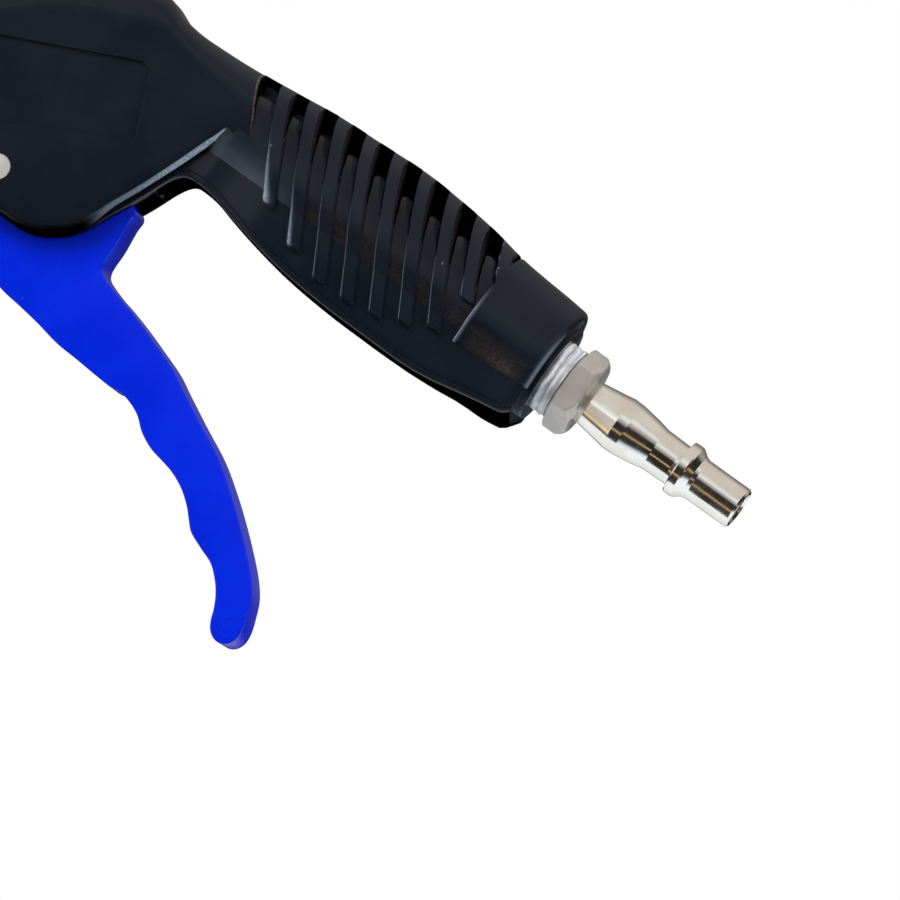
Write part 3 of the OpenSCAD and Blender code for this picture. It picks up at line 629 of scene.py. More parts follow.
# sizes in mm. The three lists of shares have their values at the stations, which are shares of the
# length from the handle's end; spine and lip have theirs at spineAt and lipAt, in mm from there
grip = {
    "length": 97.0, "end": 82.5,
    "back": 16.4, "barrel": 12.3, "ribRise": 1.0,
    "neckBack": (0.7, 72.6, 73.6),       # how far it steps in at the neck, from where to where
    "neckBarrel": (0.8, 68.5, 73.0),
    "crease": -3.2, "creaseDrop": [0.7, 1.5], "creaseNeck": (56, 68),
    "spineAt": [0, 1.3, 4.8, 8.9, 13.1, 20, 30, 60, 82.5],
    "spine": [1.5, 2.0, 1.9, 1.2, 0.7, 0.35, 0.5, 0.4, 0.3],
    "stations": [0, 0.05, 0.10, 0.16, 0.23, 0.31, 0.40, 0.50, 0.59, 0.67, 0.75, 0.83, 0.92, 1],
    "backShares": [0.765, 0.793, 0.813, 0.848, 0.92, 0.97, 1, 0.975, 0.95, 0.895, 0.845, 0.81,
                   0.795, 0.86],
    "barrelShares": [1, 1, 1, 1, 1, 1, 1, 1, 0.97, 0.922, 0.918, 0.90, 0.892, 0.892],
    "lipAt": [0, 4.9, 9.7, 15.5, 22.3, 30, 38.8, 48.5, 57.2, 62, 65, 67.5, 69.5, 71.3, 72.6, 73.6,
              74.7, 76.1, 78.6, 81.0, 82.5],
    "lip": [-10.9, -11.7, -12.6, -13.7, -14.2, -14.1, -13.9, -13.1, -11.6, -10.5, -9.7, -9.3, -9.2,
            -9.3, -9.8, -10.9, -13.0, -16.5, -22.0, -27.2, -29.6],
    "riseShares": [0.6, 0.8, 0.9, 1, 1, 1, 1, 1, 0.9, 0.8, 0.8, 0.8, 0.8, 0.8],
    "lean": math.radians(29.4), "leanFull": 17, "leanNeck": (60.5, 73),
    "ribFeet": [59.3, 53.2, 47.1, 41.0, 34.85, 28.7, 22.6, 16.45, 10.3],
    "ribLows": [-5.1, -8.9, -11.0, -11.0, -10.1, -8.3, -6.0, 1.3, 7.1],
    "ribWedges": [1.3, 0.7, 0, 0, 0, 0, 0, 0, 0],    # extra width of the wedge on each rib that sinks in and carries a painted highlight
    "ribWidth": 2.6, "ribPitch": 6.1, "ribCorner": 0.5,
    "edge": 0.22,
    "neckFoot": 64.4,
    "web": 1.35,
    "tongueAt": 3.06,                    # from a rib's middle
    "tongueTips": [12.0, 11.8, 11.5, 11.3, 11.0, 10.8, 10.7, 10.8, 10.8, 10.8],
    "topTongue": (0.4, 1.62), "tongue": (0.0, 0.98),     # shift along the handle and half width
    "tongueWiden": 0.045,                # for each mm below the tip
    "bulge": (0.8, 52, 66), "pocket": 0.5, "pocketFrom": (3.6, 7.0),
    "crestDrop": (1.2, 16.0, 15.3),      # of the web's crest under the collar
    "wedgeDepth": 0.45,
    "endRound": 1.2, "endIn": (0.6, 0.9),        # length, and how far it goes in across and behind
}
# the painted highlights and reflections on the grip: strengths, and spans in mm across the handle
# (wedge, line, glow) or along it
gripPaintedLight = {
    "wedge": 0.22, "wedgeReach": (10, 9), "wedgeFade": (17, 9), "wedgeLeast": 0.55,
    "line": 0.9, "lineWidth": (0.20, 0.02), "lineRise": (-4, 9),
    "glowRise": (5.0, -3.2),
    "shine": 0.14, "shinePower": 2.6, "shineFrom": (50, 58), "shineTo": (73, 70),
    "tan": 0.10, "tanPower": 1.5, "tanTo": (54, 48),
}
webTurn, barrelTurn = 0.10, 0.34         # section's parameter at the web's edge and at its foot
turnIn, flatEnd, lipEnd = 0.2, 0.4, 0.8  # lengths in it of the crease, the finger side and the lip
creaseEnd = 1 + turnIn

# the lip, from the finger side to the underside: share of the way, height over the lip and step in
lipProfile = np.array([[0.40, 2.0, 0.10], [0.45, 1.42, 0.16], [0.475, 1.30, 0.30],
                       [0.50, 1.18, 0.32], [0.525, 1.06, 0.18], [0.57, 0.80, 0.16],
                       [0.61, 0.50, 0.28], [0.66, 0.22, 0.52], [0.71, 0.06, 0.86],
                       [0.76, 0.0, 1.22], [0.80, 0.0, 1.5]])
# the section's grid: from, to and the number of points
sectionGrid = ((0, webTurn, 5), (0.115, barrelTurn, 12), (0.355, 1, 46), (1.02, creaseEnd, 8),
               (1.215, 1.6, 30))


def gripSizes(u):
    # depth of the back, half width of the barrel, height of the lip and rise of the ribs
    s = np.clip(u / grip["length"], 0, 1)
    back = grip["back"] * smoothLine(s, grip["stations"], grip["backShares"])
    core = grip["barrel"] * smoothLine(s, grip["stations"], grip["barrelShares"])
    rise = grip["ribRise"] * smoothLine(s, grip["stations"], grip["riseShares"])
    return (back - stepIn(grip["neckBack"], u), core - stepIn(grip["neckBarrel"], u),
            smoothLine(u, grip["lipAt"], grip["lip"]), rise)


def gripSection(q, wide, back, low, power=2.0, u=0.0):
    # q from 0 to 1 is a quarter oval (or rounder box) behind the axis, from 1 to 1.2 a slight turn
    # in to the crease, and from 1.2 to 2.2 the flat finger side, its lip with a fine bead, and the
    # underside across to the middle
    turn = np.clip(q, 0, 1) * np.pi / 2
    drop = np.clip((q - 1) / turnIn, 0, 1)
    fall = np.clip(q - creaseEnd, 0, 1)
    crease, (dropEnd, dropNeck) = grip["crease"], grip["creaseDrop"]
    inset = dropEnd + (dropNeck - dropEnd) * smoothStep(*grip["creaseNeck"], u)
    side = wide - inset
    flat = np.clip(fall / flatEnd, 0, 1)
    height = np.interp(fall, lipProfile[:, 0], lipProfile[:, 1])
    step = np.interp(fall, lipProfile[:, 0], lipProfile[:, 2])
    across = np.clip((fall - lipEnd) / (1 - lipEnd), 0, 1)
    spine = smoothLine(u + 0 * q, grip["spineAt"], grip["spine"])
    lipTop, lipFoot = lipProfile[0], lipProfile[-1]
    yLow = np.where(fall < flatEnd, side - lipTop[2] * flat,
                    np.where(fall < lipEnd, side - step, (side - lipFoot[2]) * (1 - across)))
    vLow = np.where(fall < flatEnd, crease + (low + lipTop[1] - crease) * flat,
                    np.where(fall < lipEnd, low + height, low - spine * (1 - (1 - across) ** 2)))
    y = np.where(q <= 1, wide * np.sin(turn) ** (2 / power),
                 np.where(q <= creaseEnd, wide - inset * drop**1.4, yLow))
    v = np.where(q <= 1, back * np.cos(turn) ** (2 / power),
                 np.where(q <= creaseEnd, crease * drop, vLow))
    return y, v


def gripFloor(q, core, back, web, power):
    # the groove's floor: the back web's crest, down the web's side, then round the inner barrel
    barrelBack = 0.985 * core
    t = np.clip((q - barrelTurn) / (1 - barrelTurn), 0, 1)
    start = np.arcsin(np.clip(web / core, 0, 1))
    turn = start + t * (np.pi / 2 - start)
    fall = np.clip((q - webTurn) / (barrelTurn - webTurn), 0, 1)
    top = np.sqrt(np.maximum(1 - (web / core) ** 2, 0)) * barrelBack
    y = np.where(q < webTurn, web * np.clip(q / webTurn, 0, 1),
                 np.where(q < barrelTurn, web, core * np.sin(turn)))
    v = np.where(q < webTurn, back,
                 np.where(q < barrelTurn, back + (top - back) * fall, barrelBack * np.cos(turn)))
    oval = np.abs(y / core) ** power + np.clip(v / barrelBack, 0, 1) ** power
    grow = np.where(q >= barrelTurn, 1 / oval ** (1 / power), 1)
    return y * grow, v * grow


def ribLines():
    # places of the grid lines along the handle: close together at the rib edges, wider between them
    cosLean = math.cos(grip["lean"])
    half = grip["ribWidth"] / 2 / cosLean
    e = grip["edge"] / cosLean
    inner = 2.6 * e                      # where the close lines of an edge stop
    near = np.array([-1.6, -1.0, -0.55, -0.2, 0.2, 0.55, 1.0, 1.6]) * e
    crest = np.linspace(inner - half, half - inner, 6)
    groove = half + np.linspace(inner, grip["ribPitch"] - 2 * half - inner, 11)
    marks = [np.linspace(0, 9, 12)]
    for foot in sorted(grip["ribFeet"]):
        marks += [foot - half + near, foot + half + near, foot + crest, foot + groove]
    marks += [np.linspace(grip["neckFoot"], grip["end"], 64)]
    lines = np.unique(np.round(np.concatenate(marks), 4))
    keep = np.concatenate([[True], np.diff(lines) > 0.04])
    return np.clip(lines[keep], 0, grip["end"])


def capsule(across, beyond, power=3.2):
    # distance from the centre line of a band, its end between round and square
    return (np.abs(across) ** power + np.maximum(beyond, 0) ** power) ** (1 / power)


def bulge(u):
    # the section's back is an oval round the ribs and a rounder box toward the neck
    return 2 + stepIn(grip["bulge"], u)


def ribMask(foot, v, cosLean):
    # 1 on a rib's crest, 0 in a groove; each rib is a band cut off along the handle, with small
    # round corners. The sheen value marks a painted bluish white highlight on the wedge at its low
    # left side and a painted tan reflection on the line up its right side, and low is 1 where that
    # wedge sinks in
    half, edge, corner = grip["ribWidth"] / 2, grip["edge"], grip["ribCorner"]
    (top, length), least = gripPaintedLight["wedgeReach"], gripPaintedLight["wedgeLeast"]
    thick, thin = gripPaintedLight["lineWidth"]
    mask, worn, low = 0 * foot, 0 * foot, 0 * foot
    for f, end, extra in zip(grip["ribFeet"], grip["ribLows"], grip["ribWedges"]):
        across = (foot - f) * cosLean
        dx, dy = np.abs(across) - half + corner, (end - v) + corner
        d = np.minimum(np.maximum(dx, dy), 0) + np.hypot(np.maximum(dx, 0), np.maximum(dy, 0))
        band = 1 - smoothStep(-edge, edge, d - corner)
        mask = np.maximum(mask, band)
        reach = np.clip((end + top - v) / length, 0, 1) ** 1.3
        widest = gripPaintedLight["wedge"] + extra * reach
        slant = np.clip((across - half + widest) / widest, 0, 1) ** (1.3 if extra else 0.6)
        wedge = slant * (least + (1 - least) * reach) * band
        wedge = wedge * smoothStep(*gripPaintedLight["wedgeFade"], v - end)
        line = smoothStep(half - thick, half - thin, -across) * band**3
        line = gripPaintedLight["line"] * line * smoothStep(*gripPaintedLight["lineRise"], v)
        inBand = band * (across < half + edge) * (v > end - 0.3)
        worn = worn + inBand * (wedge - line)
        if extra:
            sunk = inBand * smoothStep(half - widest - 0.3, half, across) * reach
            low = np.maximum(low, sunk)
    return mask, np.clip(worn, -1, 1), low


def tongueMask(foot, v, cosLean):
    # 1 on the small rounded tongues that rise from the barrel in the middle of each groove
    mask = np.zeros_like(v)
    gaps = [f + grip["tongueAt"] for f in grip["ribFeet"]]
    gaps.append(grip["ribFeet"][-1] - grip["tongueAt"])
    for gap, tip in zip(gaps, grip["tongueTips"]):
        shift, half = grip["topTongue" if gap == gaps[0] else "tongue"]
        d = capsule((foot - gap - shift) * cosLean, (v - tip + 1.0) / cosLean)
        wide = half + grip["tongueWiden"] * np.clip(tip - v, 0, 9)
        mask = np.maximum(mask, 1 - smoothStep(wide, wide + 0.28, d))
    return mask


def gripSurface(side):
    # the outer form where a rib or the back web stands, and the groove floor between them
    lines = ribLines()[:, None]
    q = np.concatenate([np.linspace(*part) for part in sectionGrid]
                       + [lipProfile[1:-1, 0] + creaseEnd, np.linspace(2.0, 2.2, 8)])[None, :]
    tanLean, cosLean = math.tan(grip["lean"]), math.cos(grip["lean"])
    lean = tanLean * smoothStep(0, grip["leanFull"], lines)
    leanLow = lean * (1 - smoothStep(*grip["leanNeck"], lines))
    u = lines + 0 * q
    for _ in range(8):      # a slanted line's place depends on the form there, so it settles
        back, core, lip, rise = gripSizes(u)
        yOut, vOut = gripSection(q, core + rise, back, lip, bulge(u), u)
        foot = lines + (lean - tanLean) * np.where(lines < grip["leanFull"], vOut, 0)
        mask, worn, low = ribMask(foot, vOut, cosLean)
        yIn, vIn = gripFloor(q, core, back, grip["web"], bulge(u))
        yLow, vLow = gripSection(q, core, back, lip, bulge(u), u)
        yIn, vIn = np.where(q > 1, yLow, yIn), np.where(q > 1, vLow, vIn)
        v = vIn + (vOut - vIn) * mask
        u = lines + lean * np.maximum(v, 0) + leanLow * np.minimum(v, 0)
        u = np.clip(u, 0, grip["end"] + 8)
    # the pockets beside and over the tongues fade out where the barrel meets them
    tongue = tongueMask(foot, vIn, cosLean)
    hollow = np.where(q <= 1, (1 - tongue) * smoothStep(*grip["pocketFrom"], vIn), 0)
    pocket = np.where((q > barrelTurn) & (q <= 1), grip["web"] + grip["pocket"], yIn)
    yIn = yIn + (pocket - yIn) * hollow
    # under the collar the web's crest stays below its surface
    vIn = vIn - stepIn(grip["crestDrop"], u) * (q < barrelTurn)
    y = yIn + (yOut - yIn) * mask - grip["wedgeDepth"] * low
    v = vIn + (vOut - vIn) * mask
    # the shade value paints the pockets and the handle's underside dark: painted shade
    deep = smoothStep(0.25, 0.8, hollow) * (1 - mask)
    deep = np.maximum(deep, smoothStep(1.90, 1.96, q + 0 * u))
    # a painted faint bluish highlight lies on the barrel over the crease near the neck, and a
    # painted tan reflection lower down
    marks = gripPaintedLight
    glow = smoothStep(*marks["glowRise"], vIn) * (1 - mask) * (q <= creaseEnd) * (1 - hollow)
    shine = smoothStep(*marks["shineFrom"], u) * smoothStep(*marks["shineTo"], u)
    worn = worn + marks["shine"] * glow ** marks["shinePower"] * shine
    worn = worn - marks["tan"] * glow ** marks["tanPower"] * smoothStep(*marks["tanTo"], u)
    # the end rounds off inside the collar
    atEnd = 1 - smoothStep(0, grip["endRound"], u)
    y = np.maximum(y - grip["endIn"][0] * atEnd, seam)
    v = v - grip["endIn"][1] * np.sign(v) * atEnd
    return alongHandle(u, v, side * y), worn, deep


def makeGrip(side, name, node):
    points, worn, deep = gripSurface(side)
    piece = makeLoft(name, points, "gun_body", "housing", "gripBlack", 40, worn=worn, deep=deep)
    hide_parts(node)
    return piece


collar = {
    # place along the handle and how far its round edge lies in, at both edges
    "start": [[-0.1, 4.0], [-0.1, 0.9], [0.06, 0.3], [0.4, 0.06]],
    "end": [[15.1, 0.0], [15.38, 0.10], [15.5, 0.32], [15.5, 4.0]],
    "middle": (1, 14.6, 18),
    "lowEdge": 1.32,         # section's parameter at the straight lower edge
    "wall": 4.0,
    "sideIn": (0.55, -0.5, -6.5), "edgeIn": (0.35, 1.285, 1.32),
    # painted bluish white highlights at both edges, and the painted tan reflection over the lower
    # edge and in its middle: strength and where it begins and is full behind the axis, then where
    # along the handle
    "endHighlight": ((0.5, 7, 0), (14.9, 15.4)), "startHighlight": ((0.35, 9, 0), (0.5, 0.1)),
    "sheen": ((0.10, 0.5, -4.5), (14.9, 11.0), (0.5, 2.5)),
    "middleSheen": ((0.24, -1.6, -5.4), (10.5, 6.0), (2.0, 4.5)),
}


def makeCollar(side, name, node):
    # the smooth band round the handle's end, level with the ribs, with a small round at its edges;
    # below the axis it turns in to its straight lower edge, and its inner side runs back up
    middle = np.linspace(*collar["middle"])
    middle = np.stack([middle, 0 * middle], axis=1)
    u, sink = np.vstack([collar["start"], middle, collar["end"]]).T[:, :, None]
    q = np.linspace(0, collar["lowEdge"], 110)[None, :]
    back, core, low, rise = gripSizes(u + 0 * q)
    y, v = gripSection(q, core + rise - sink, back - sink, low)
    y = y - stepIn(collar["sideIn"], v) - stepIn(collar["edgeIn"], q)
    worn = 0 * v
    for kind, sign, power in (("endHighlight", 1, 1), ("startHighlight", 1, 1), ("sheen", -1, 1),
                              ("middleSheen", -1, 1.3)):
        (strength, *behind), *along = collar[kind]
        mark = sign * strength * smoothStep(*behind, v) ** power
        for span in along:
            mark = mark * smoothStep(*span, u)
        worn = worn + mark
    inside = np.linspace(collar["lowEdge"], 0, 24)[None, :]
    wall = collar["wall"]
    yIn, vIn = gripSection(inside, (core + rise)[:, :1] - wall, back[:, :1] - wall, low[:, :1])
    y = np.maximum(np.concatenate([y, yIn], axis=1), seam)
    v = np.concatenate([v, vIn], axis=1)
    worn = np.concatenate([worn, 0 * yIn], axis=1)
    piece = makeLoft(name, alongHandle(u + 0 * y, v, side * y), "gun_body", "housing",
                     "housingBlack", 40, worn=worn)
    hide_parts(node)
    return piece


head = {
    "half": 11.2,
    # x and z of the foot and of the crown, radius of the foot's round, and width and depth of the
    # crown's round
    "sections": [[25.2, 6.4, 26.7, 21.5, 2.5, 3.4, 3.4], [19.0, 5.3, 25.2, 25.1, 2.4, 4.2, 4.6],
                 [12.9, 4.0, 19.4, 28.0, 2.2, 4.6, 6.0], [8.5, 0.9, 12.0, 30.6, 2.2, 4.6, 6.3],
                 [5.3, -2.8, 7.0, 32.0, 2.4, 4.6, 6.3], [2.4, -6.6, 3.0, 33.1, 2.6, 4.6, 6.3],
                 [-0.8, -8.9, -1.0, 33.9, 2.8, 4.6, 6.3],
                 [-4.4, -11.3, -6.0, 34.5, 2.9, 4.6, 6.3],
                 [-8.5, -12.5, -10.0, 34.7, 2.9, 4.6, 6.3],
                 [-12.8, -12.3, -14.0, 34.4, 2.8, 4.6, 6.3],
                 [-16.6, -10.7, -18.0, 33.8, 2.0, 4.6, 6.3],
                 [-20.6, -7.6, -22.0, 33.0, 1.2, 4.8, 6.4],
                 [-26.2, -4.2, -26.6, 32.4, 1.0, 4.8, 6.6],
                 [-31.6, -0.8, -30.1, 30.9, 1.1, 4.8, 7.0],
                 [-36.8, 2.7, -32.9, 27.0, 1.1, 4.8, 7.6],
                 [-39.4, 4.6, -36.0, 24.2, 0.9, 4.9, 8.2],
                 [-41.5, 6.0, -39.4, 21.9, 0.8, 5.0, 8.8],
                 [-43.3, 2.6, -43.0, 19.6, 0.4, 5.2, 9.4],
                 [-45.2, 0.6, -47.0, 17.2, 0.3, 5.4, 9.8]],
    "recess": [[-26.0, 18.7], [-27.3, 17.0], [-24.9, 5.0], [-24.0, 4.6], [4.2, 8.8], [5.0, 9.7],
               [5.0, 24.0], [4.2, 24.6]],
    "recessDepth": 0.6,
    "slot": [[15.6, -23.7], [15.6, 0.9], [7.5, 2.4], [-3.0, 5.3], [-21.0, 5.3], [-26.5, 2.4],
             [-28.0, -0.9], [-27.7, -23.7]],
    "slotHalf": 6.6,
    "crownWiden": 1.5, "crownPower": 0.67,
    "flatten": (0.65, -15, -24),         # brings the foot's round near a chamfer along the ridge
    "endRound": 0.22,
    # painted highlight and painted shade, by x of the foot: where the painted highlight on the
    # ridge begins, ends and is full, and where the foot's round is painted dark, up to which share
    # of it, and how much further under the lobe
    "ridgeFrom": (-15, -21), "ridgeTo": (-40.4, -41.6), "ridgeShine": (0.6, -20, -37),
    "crownTan": (0.9, 3, 9),             # painted tan reflection on the end's crown, by the way from the foot
    "darkTo": (-20, -15), "darkShare": (0.34, 0.62), "darkLobe": (0.26, 1, -10),
    "rows": 330, "footSteps": 11, "crownSteps": 19, "sideSteps": 11,
}
# round rooms that are cut out of the pieces: start and end along their own axes, and radius
rooms = {
    "pin": (-30, 30, 2.38), "valve": (5.55, 30.45, 8.25), "nose": (-12, 28, 6.7),
    "boss": (-12, 9.7, 7.1), "screw": (-30, -6.8, 2.9), "insert": (-1, 15.1, 9.45),
    "tube": (-1, 84, 6.7), "eye": (-10, 10, 4.0), "lever": (-20, 20, 2.39),
}


def handlePoint(u, v):
    p = handleStart + u * axisAlong + v * axisBack
    return float(p[0]), float(p[1])


headScrew = (3.06, 26.78)
handleScrews = [handlePoint(20.86, -9.3), handlePoint(50.93, -8.52)]


def roundCutter(room, place):
    start, end, radius = rooms[room]
    return makeLoft(room + "Room", turned([[start, radius], [end, radius]], 96, place))


def slotCutter():
    # a prism on the corner points of the trigger's slot
    p = np.array(head["slot"])
    half = head["slotHalf"]
    return makeLoft("slotRoom", stacked([(p, -half), (p, half)]))


def recessCutter(side):
    # a prism on the recess's corner points, with a fine slope at its mouth and a round at its floor
    p = np.array(head["recess"])
    out = p - p.mean(axis=0)
    out /= np.linalg.norm(out, axis=1, keepdims=True)
    half = head["half"]
    floor = half - head["recessDepth"]
    levels = ((floor, -0.26), (floor + 0.14, -0.10), (half - 0.12, 0.0), (half + 0.03, 0.16),
              (half + 1.0, 0.16))
    return makeLoft("recessRoom", stacked([(p + out * grow, side * y) for y, grow in levels]))


def clearRecess(piece):
    # no painted shade or painted highlight on the recess: its points lie on the inner side of each
    # of its edges
    mesh = piece.data
    points = np.empty(len(mesh.vertices) * 3, np.float32)
    mesh.vertices.foreach_get("co", points)
    points = points.reshape(-1, 3) / mm - pinPlace
    p = np.array(head["recess"])
    along = np.roll(p, -1, axis=0) - p
    out = np.stack([along[:, 1], -along[:, 0]], axis=1)
    out /= np.linalg.norm(along, axis=1, keepdims=True)
    out *= np.sign(np.sum((p - p.mean(axis=0)) * out, axis=1))[:, None]
    reach = np.einsum("nkc,kc->nk", points[:, None, [0, 2]] - p[None], out)
    sunk = np.abs(points[:, 1]) > head["half"] - head["recessDepth"] - 0.05
    inside = (reach.max(axis=1) < 0.3) & sunk
    for label in ("worn", "deep"):
        values = np.empty(len(mesh.vertices), np.float32)
        mesh.attributes[label].data.foreach_get("value", values)
        values[inside] = 0
        mesh.attributes[label].data.foreach_set("value", values)


def headSections():
    # the rows of the table run on smoothly by the length of their feet and crowns
    rows = np.array(head["sections"])
    foot, crown = np.diff(rows[:, :2], axis=0), np.diff(rows[:, 2:4], axis=0)
    step = np.linalg.norm(foot, axis=1) + np.linalg.norm(crown, axis=1)
    at = np.concatenate([[0], np.cumsum(step)])
    fine = np.linspace(0, at[-1], head["rows"])
    return np.stack([smoothLine(fine, at, rows[:, k]) for k in range(rows.shape[1])], axis=1)


def makeHead(side, name, node, withScrew):
    # each section is a straight cut across the head: wall, quarter round at the foot (nearer a
    # chamfer along the ridge), flat side, and the crown's quarter oval down to the seam; d is the
    # way from the foot to the crown and y the distance from the middle plane
    rows = headSections()
    foot, crown = rows[:, None, 0:2], rows[:, None, 2:4]
    footRound, crownWidth, crownDepth = rows[:, 4, None], rows[:, 5, None], rows[:, 6, None]
    crownWidth = head["crownWiden"] * crownWidth
    x = foot[:, :, 0]
    long = np.linalg.norm(crown - foot, axis=2)
    half, one = head["half"], np.ones_like(long)
    a = np.linspace(0, np.pi / 2, head["footSteps"])[None, :]
    c = np.linspace(0, np.pi / 2, head["crownSteps"])[None, ::-1]
    flat = np.linspace(0, 1, head["sideSteps"] + 2)[None, 1:-1]
    flatten = 1.0 + stepIn(head["flatten"], x)
    parts = [
        (0 * one, seam * one), (0 * one, (half - footRound) * 0.6),
        (footRound * (1 - np.cos(a) ** flatten), half - footRound * (1 - np.sin(a) ** flatten)),
        (footRound + (long - footRound - crownWidth) * flat, half + 0 * long * flat),
        (long - crownWidth * (1 - np.cos(c) ** head["crownPower"]),
         half - crownDepth * (1 - np.sin(c))),
        (long * one, (half - crownDepth) * 0.5), (long * one, seam * one),
    ]
    d, y = (np.concatenate([part[k] for part in parts], axis=1) for k in (0, 1))
    last = len(rows) - 1
    edge = stepIn((head["endRound"], last - 0.5, last), np.arange(len(rows)))[:, None]
    d = d + edge * np.where(d < long / 2, 1, -1)
    y = np.maximum(y - edge, seam)
    place = foot + (crown - foot) * (d / long)[:, :, None]
    points = toFrame(place[:, :, 0], side * y, place[:, :, 1])
    # a painted bright highlight lies on the ridge from the lobe to the neck, and a painted tan
    # reflection on the end's crown
    footPart = slice(2, 2 + head["footSteps"])
    ridge = smoothStep(*head["ridgeFrom"], x) * (1 - smoothStep(*head["ridgeTo"], x))
    ridge = ridge * (1 - head["ridgeShine"][0] + stepIn(head["ridgeShine"], x))
    worn = 0 * d
    worn[:, footPart] = ridge * np.sin(a * 2) ** 0.7
    worn[-2] = -stepIn(head["crownTan"], d[-2])
    # painted shade darkens the end face, the wall at the foot and, before the ridge, the start of
    # its round
    deep = 0 * d
    deep[-1] = 1
    share = a * 2 / np.pi - stepIn(head["darkLobe"], x)
    deep[:, footPart] = 1 - smoothStep(*head["darkShare"], share)
    deep[:, footPart] *= smoothStep(*head["darkTo"], x)
    deep[:, :4] = 1
    piece = makeLoft(name, points, "gun_body", "housing", "housingBlack", 30, worn=worn, deep=deep)
    cutters = [recessCutter(side), slotCutter(), roundCutter("pin", acrossAt(0, 0)),
               roundCutter("valve", onValve), roundCutter("nose", onNozzle),
               roundCutter("boss", onNozzle)]
    if withScrew:
        cutters.append(roundCutter("screw", acrossAt(*headScrew)))
    carve(piece, cutters, 30)
    dropCutters(cutters)
    clearRecess(piece)
    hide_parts(node)
    return piece


eye = {
    "place": (-16.0, 40.4), "wall": 3.98, "half": 3.5, "round": 0.8,
    "turn": (-20, 208), "flankFeet": [[-29.9, 28.4], [-4.1, 28.4]],
}


def makeEye(side, name, node):
    # a round lug on straight flanks, its edge a quarter round, with its hole bored through
    x, z = eye["place"]
    a = np.radians(np.linspace(*eye["turn"], 40))
    r = rooms["eye"][2] + eye["wall"]
    lug = np.stack([x + r * np.cos(a), z + r * np.sin(a)], axis=1)
    outline = evenSteps(np.vstack([eye["flankFeet"], lug]), 220)
    inward = inwardNormals(outline)
    rings = [(outline, side * seam)]
    for angle in np.linspace(0, math.pi / 2, 7):
        step, drop = eye["round"] * (1 - math.cos(angle)), eye["round"] * (1 - math.sin(angle))
        rings.append((outline + inward * step, side * (eye["half"] - drop)))
    piece = makeLoft(name, stacked(rings), "gun_body", "housing", "housingBlack", 30)
    cutters = [roundCutter("eye", acrossAt(x, z))]
    carve(piece, cutters, 30)
    dropCutters(cutters)
    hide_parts(node)


for side, prefix, node in ((1, "left", "left_shell"), (-1, "right", "right_shell")):
    gripPiece = makeGrip(side, prefix + "Grip", node)
    collarPiece = makeCollar(side, prefix + "Collar", node)
    headPiece = makeHead(side, prefix + "Head", node, side < 0)
    makeEye(side, prefix + "HangEye", node)
    cutters = [roundCutter("insert", alongHandle), roundCutter("tube", alongHandle)]
    if side < 0:
        cutters += [roundCutter("screw", acrossAt(*place)) for place in handleScrews]
    cutters.append(slotCutter())
    carve(gripPiece, cutters, 40)
    carve(collarPiece, cutters[:1], 40)
    dropCutters(cutters)
    print("stage:", prefix, "shell", len(gripPiece.data.polygons), len(headPiece.data.polygons))


# front and rear are the lever's outline in shares of its drop from the pin, both from the top down
trigger = {
    "drop": 86.0, "half": 6.3, "edge": 0.4,
    "front": [[0.060, 0.020], [0.078, -0.010], [0.092, -0.060], [0.086, -0.115], [0.058, -0.180],
              [-0.002, -0.249], [-0.042, -0.286], [-0.081, -0.323], [-0.121, -0.364],
              [-0.162, -0.397], [-0.202, -0.430], [-0.234, -0.455], [-0.253, -0.464],
              [-0.274, -0.486], [-0.291, -0.514], [-0.301, -0.549], [-0.320, -0.583],
              [-0.343, -0.608], [-0.365, -0.633], [-0.384, -0.665], [-0.396, -0.700],
              [-0.401, -0.729], [-0.407, -0.758], [-0.428, -0.792], [-0.448, -0.822],
              [-0.457, -0.856], [-0.459, -0.885], [-0.456, -0.914], [-0.450, -0.938],
              [-0.4486, -0.959], [-0.456, -0.978], [-0.471, -0.9885]],
    "rear": [[-0.488, -0.9885], [-0.5045, -0.978], [-0.517, -0.957], [-0.5265, -0.925],
             [-0.534, -0.884], [-0.529, -0.830], [-0.508, -0.742], [-0.484, -0.664],
             [-0.458, -0.597], [-0.420, -0.527], [-0.386, -0.462], [-0.363, -0.417],
             [-0.330, -0.370], [-0.298, -0.326], [-0.266, -0.286], [-0.242, -0.259],
             [-0.223, -0.234], [-0.213, -0.217], [-0.214, -0.202], [-0.223, -0.186],
             [-0.242, -0.158], [-0.266, -0.115], [-0.281, -0.092], [-0.272, -0.070],
             [-0.235, -0.022], [-0.185, 0.000], [-0.165, 0.003], [-0.110, 0.003],
             [-0.085, 0.018]],
    "mark": (-41.3, -82.0), "markRadius": 1.7, "markLine": 0.13,
    "top": (-1.0, 1.6),
}


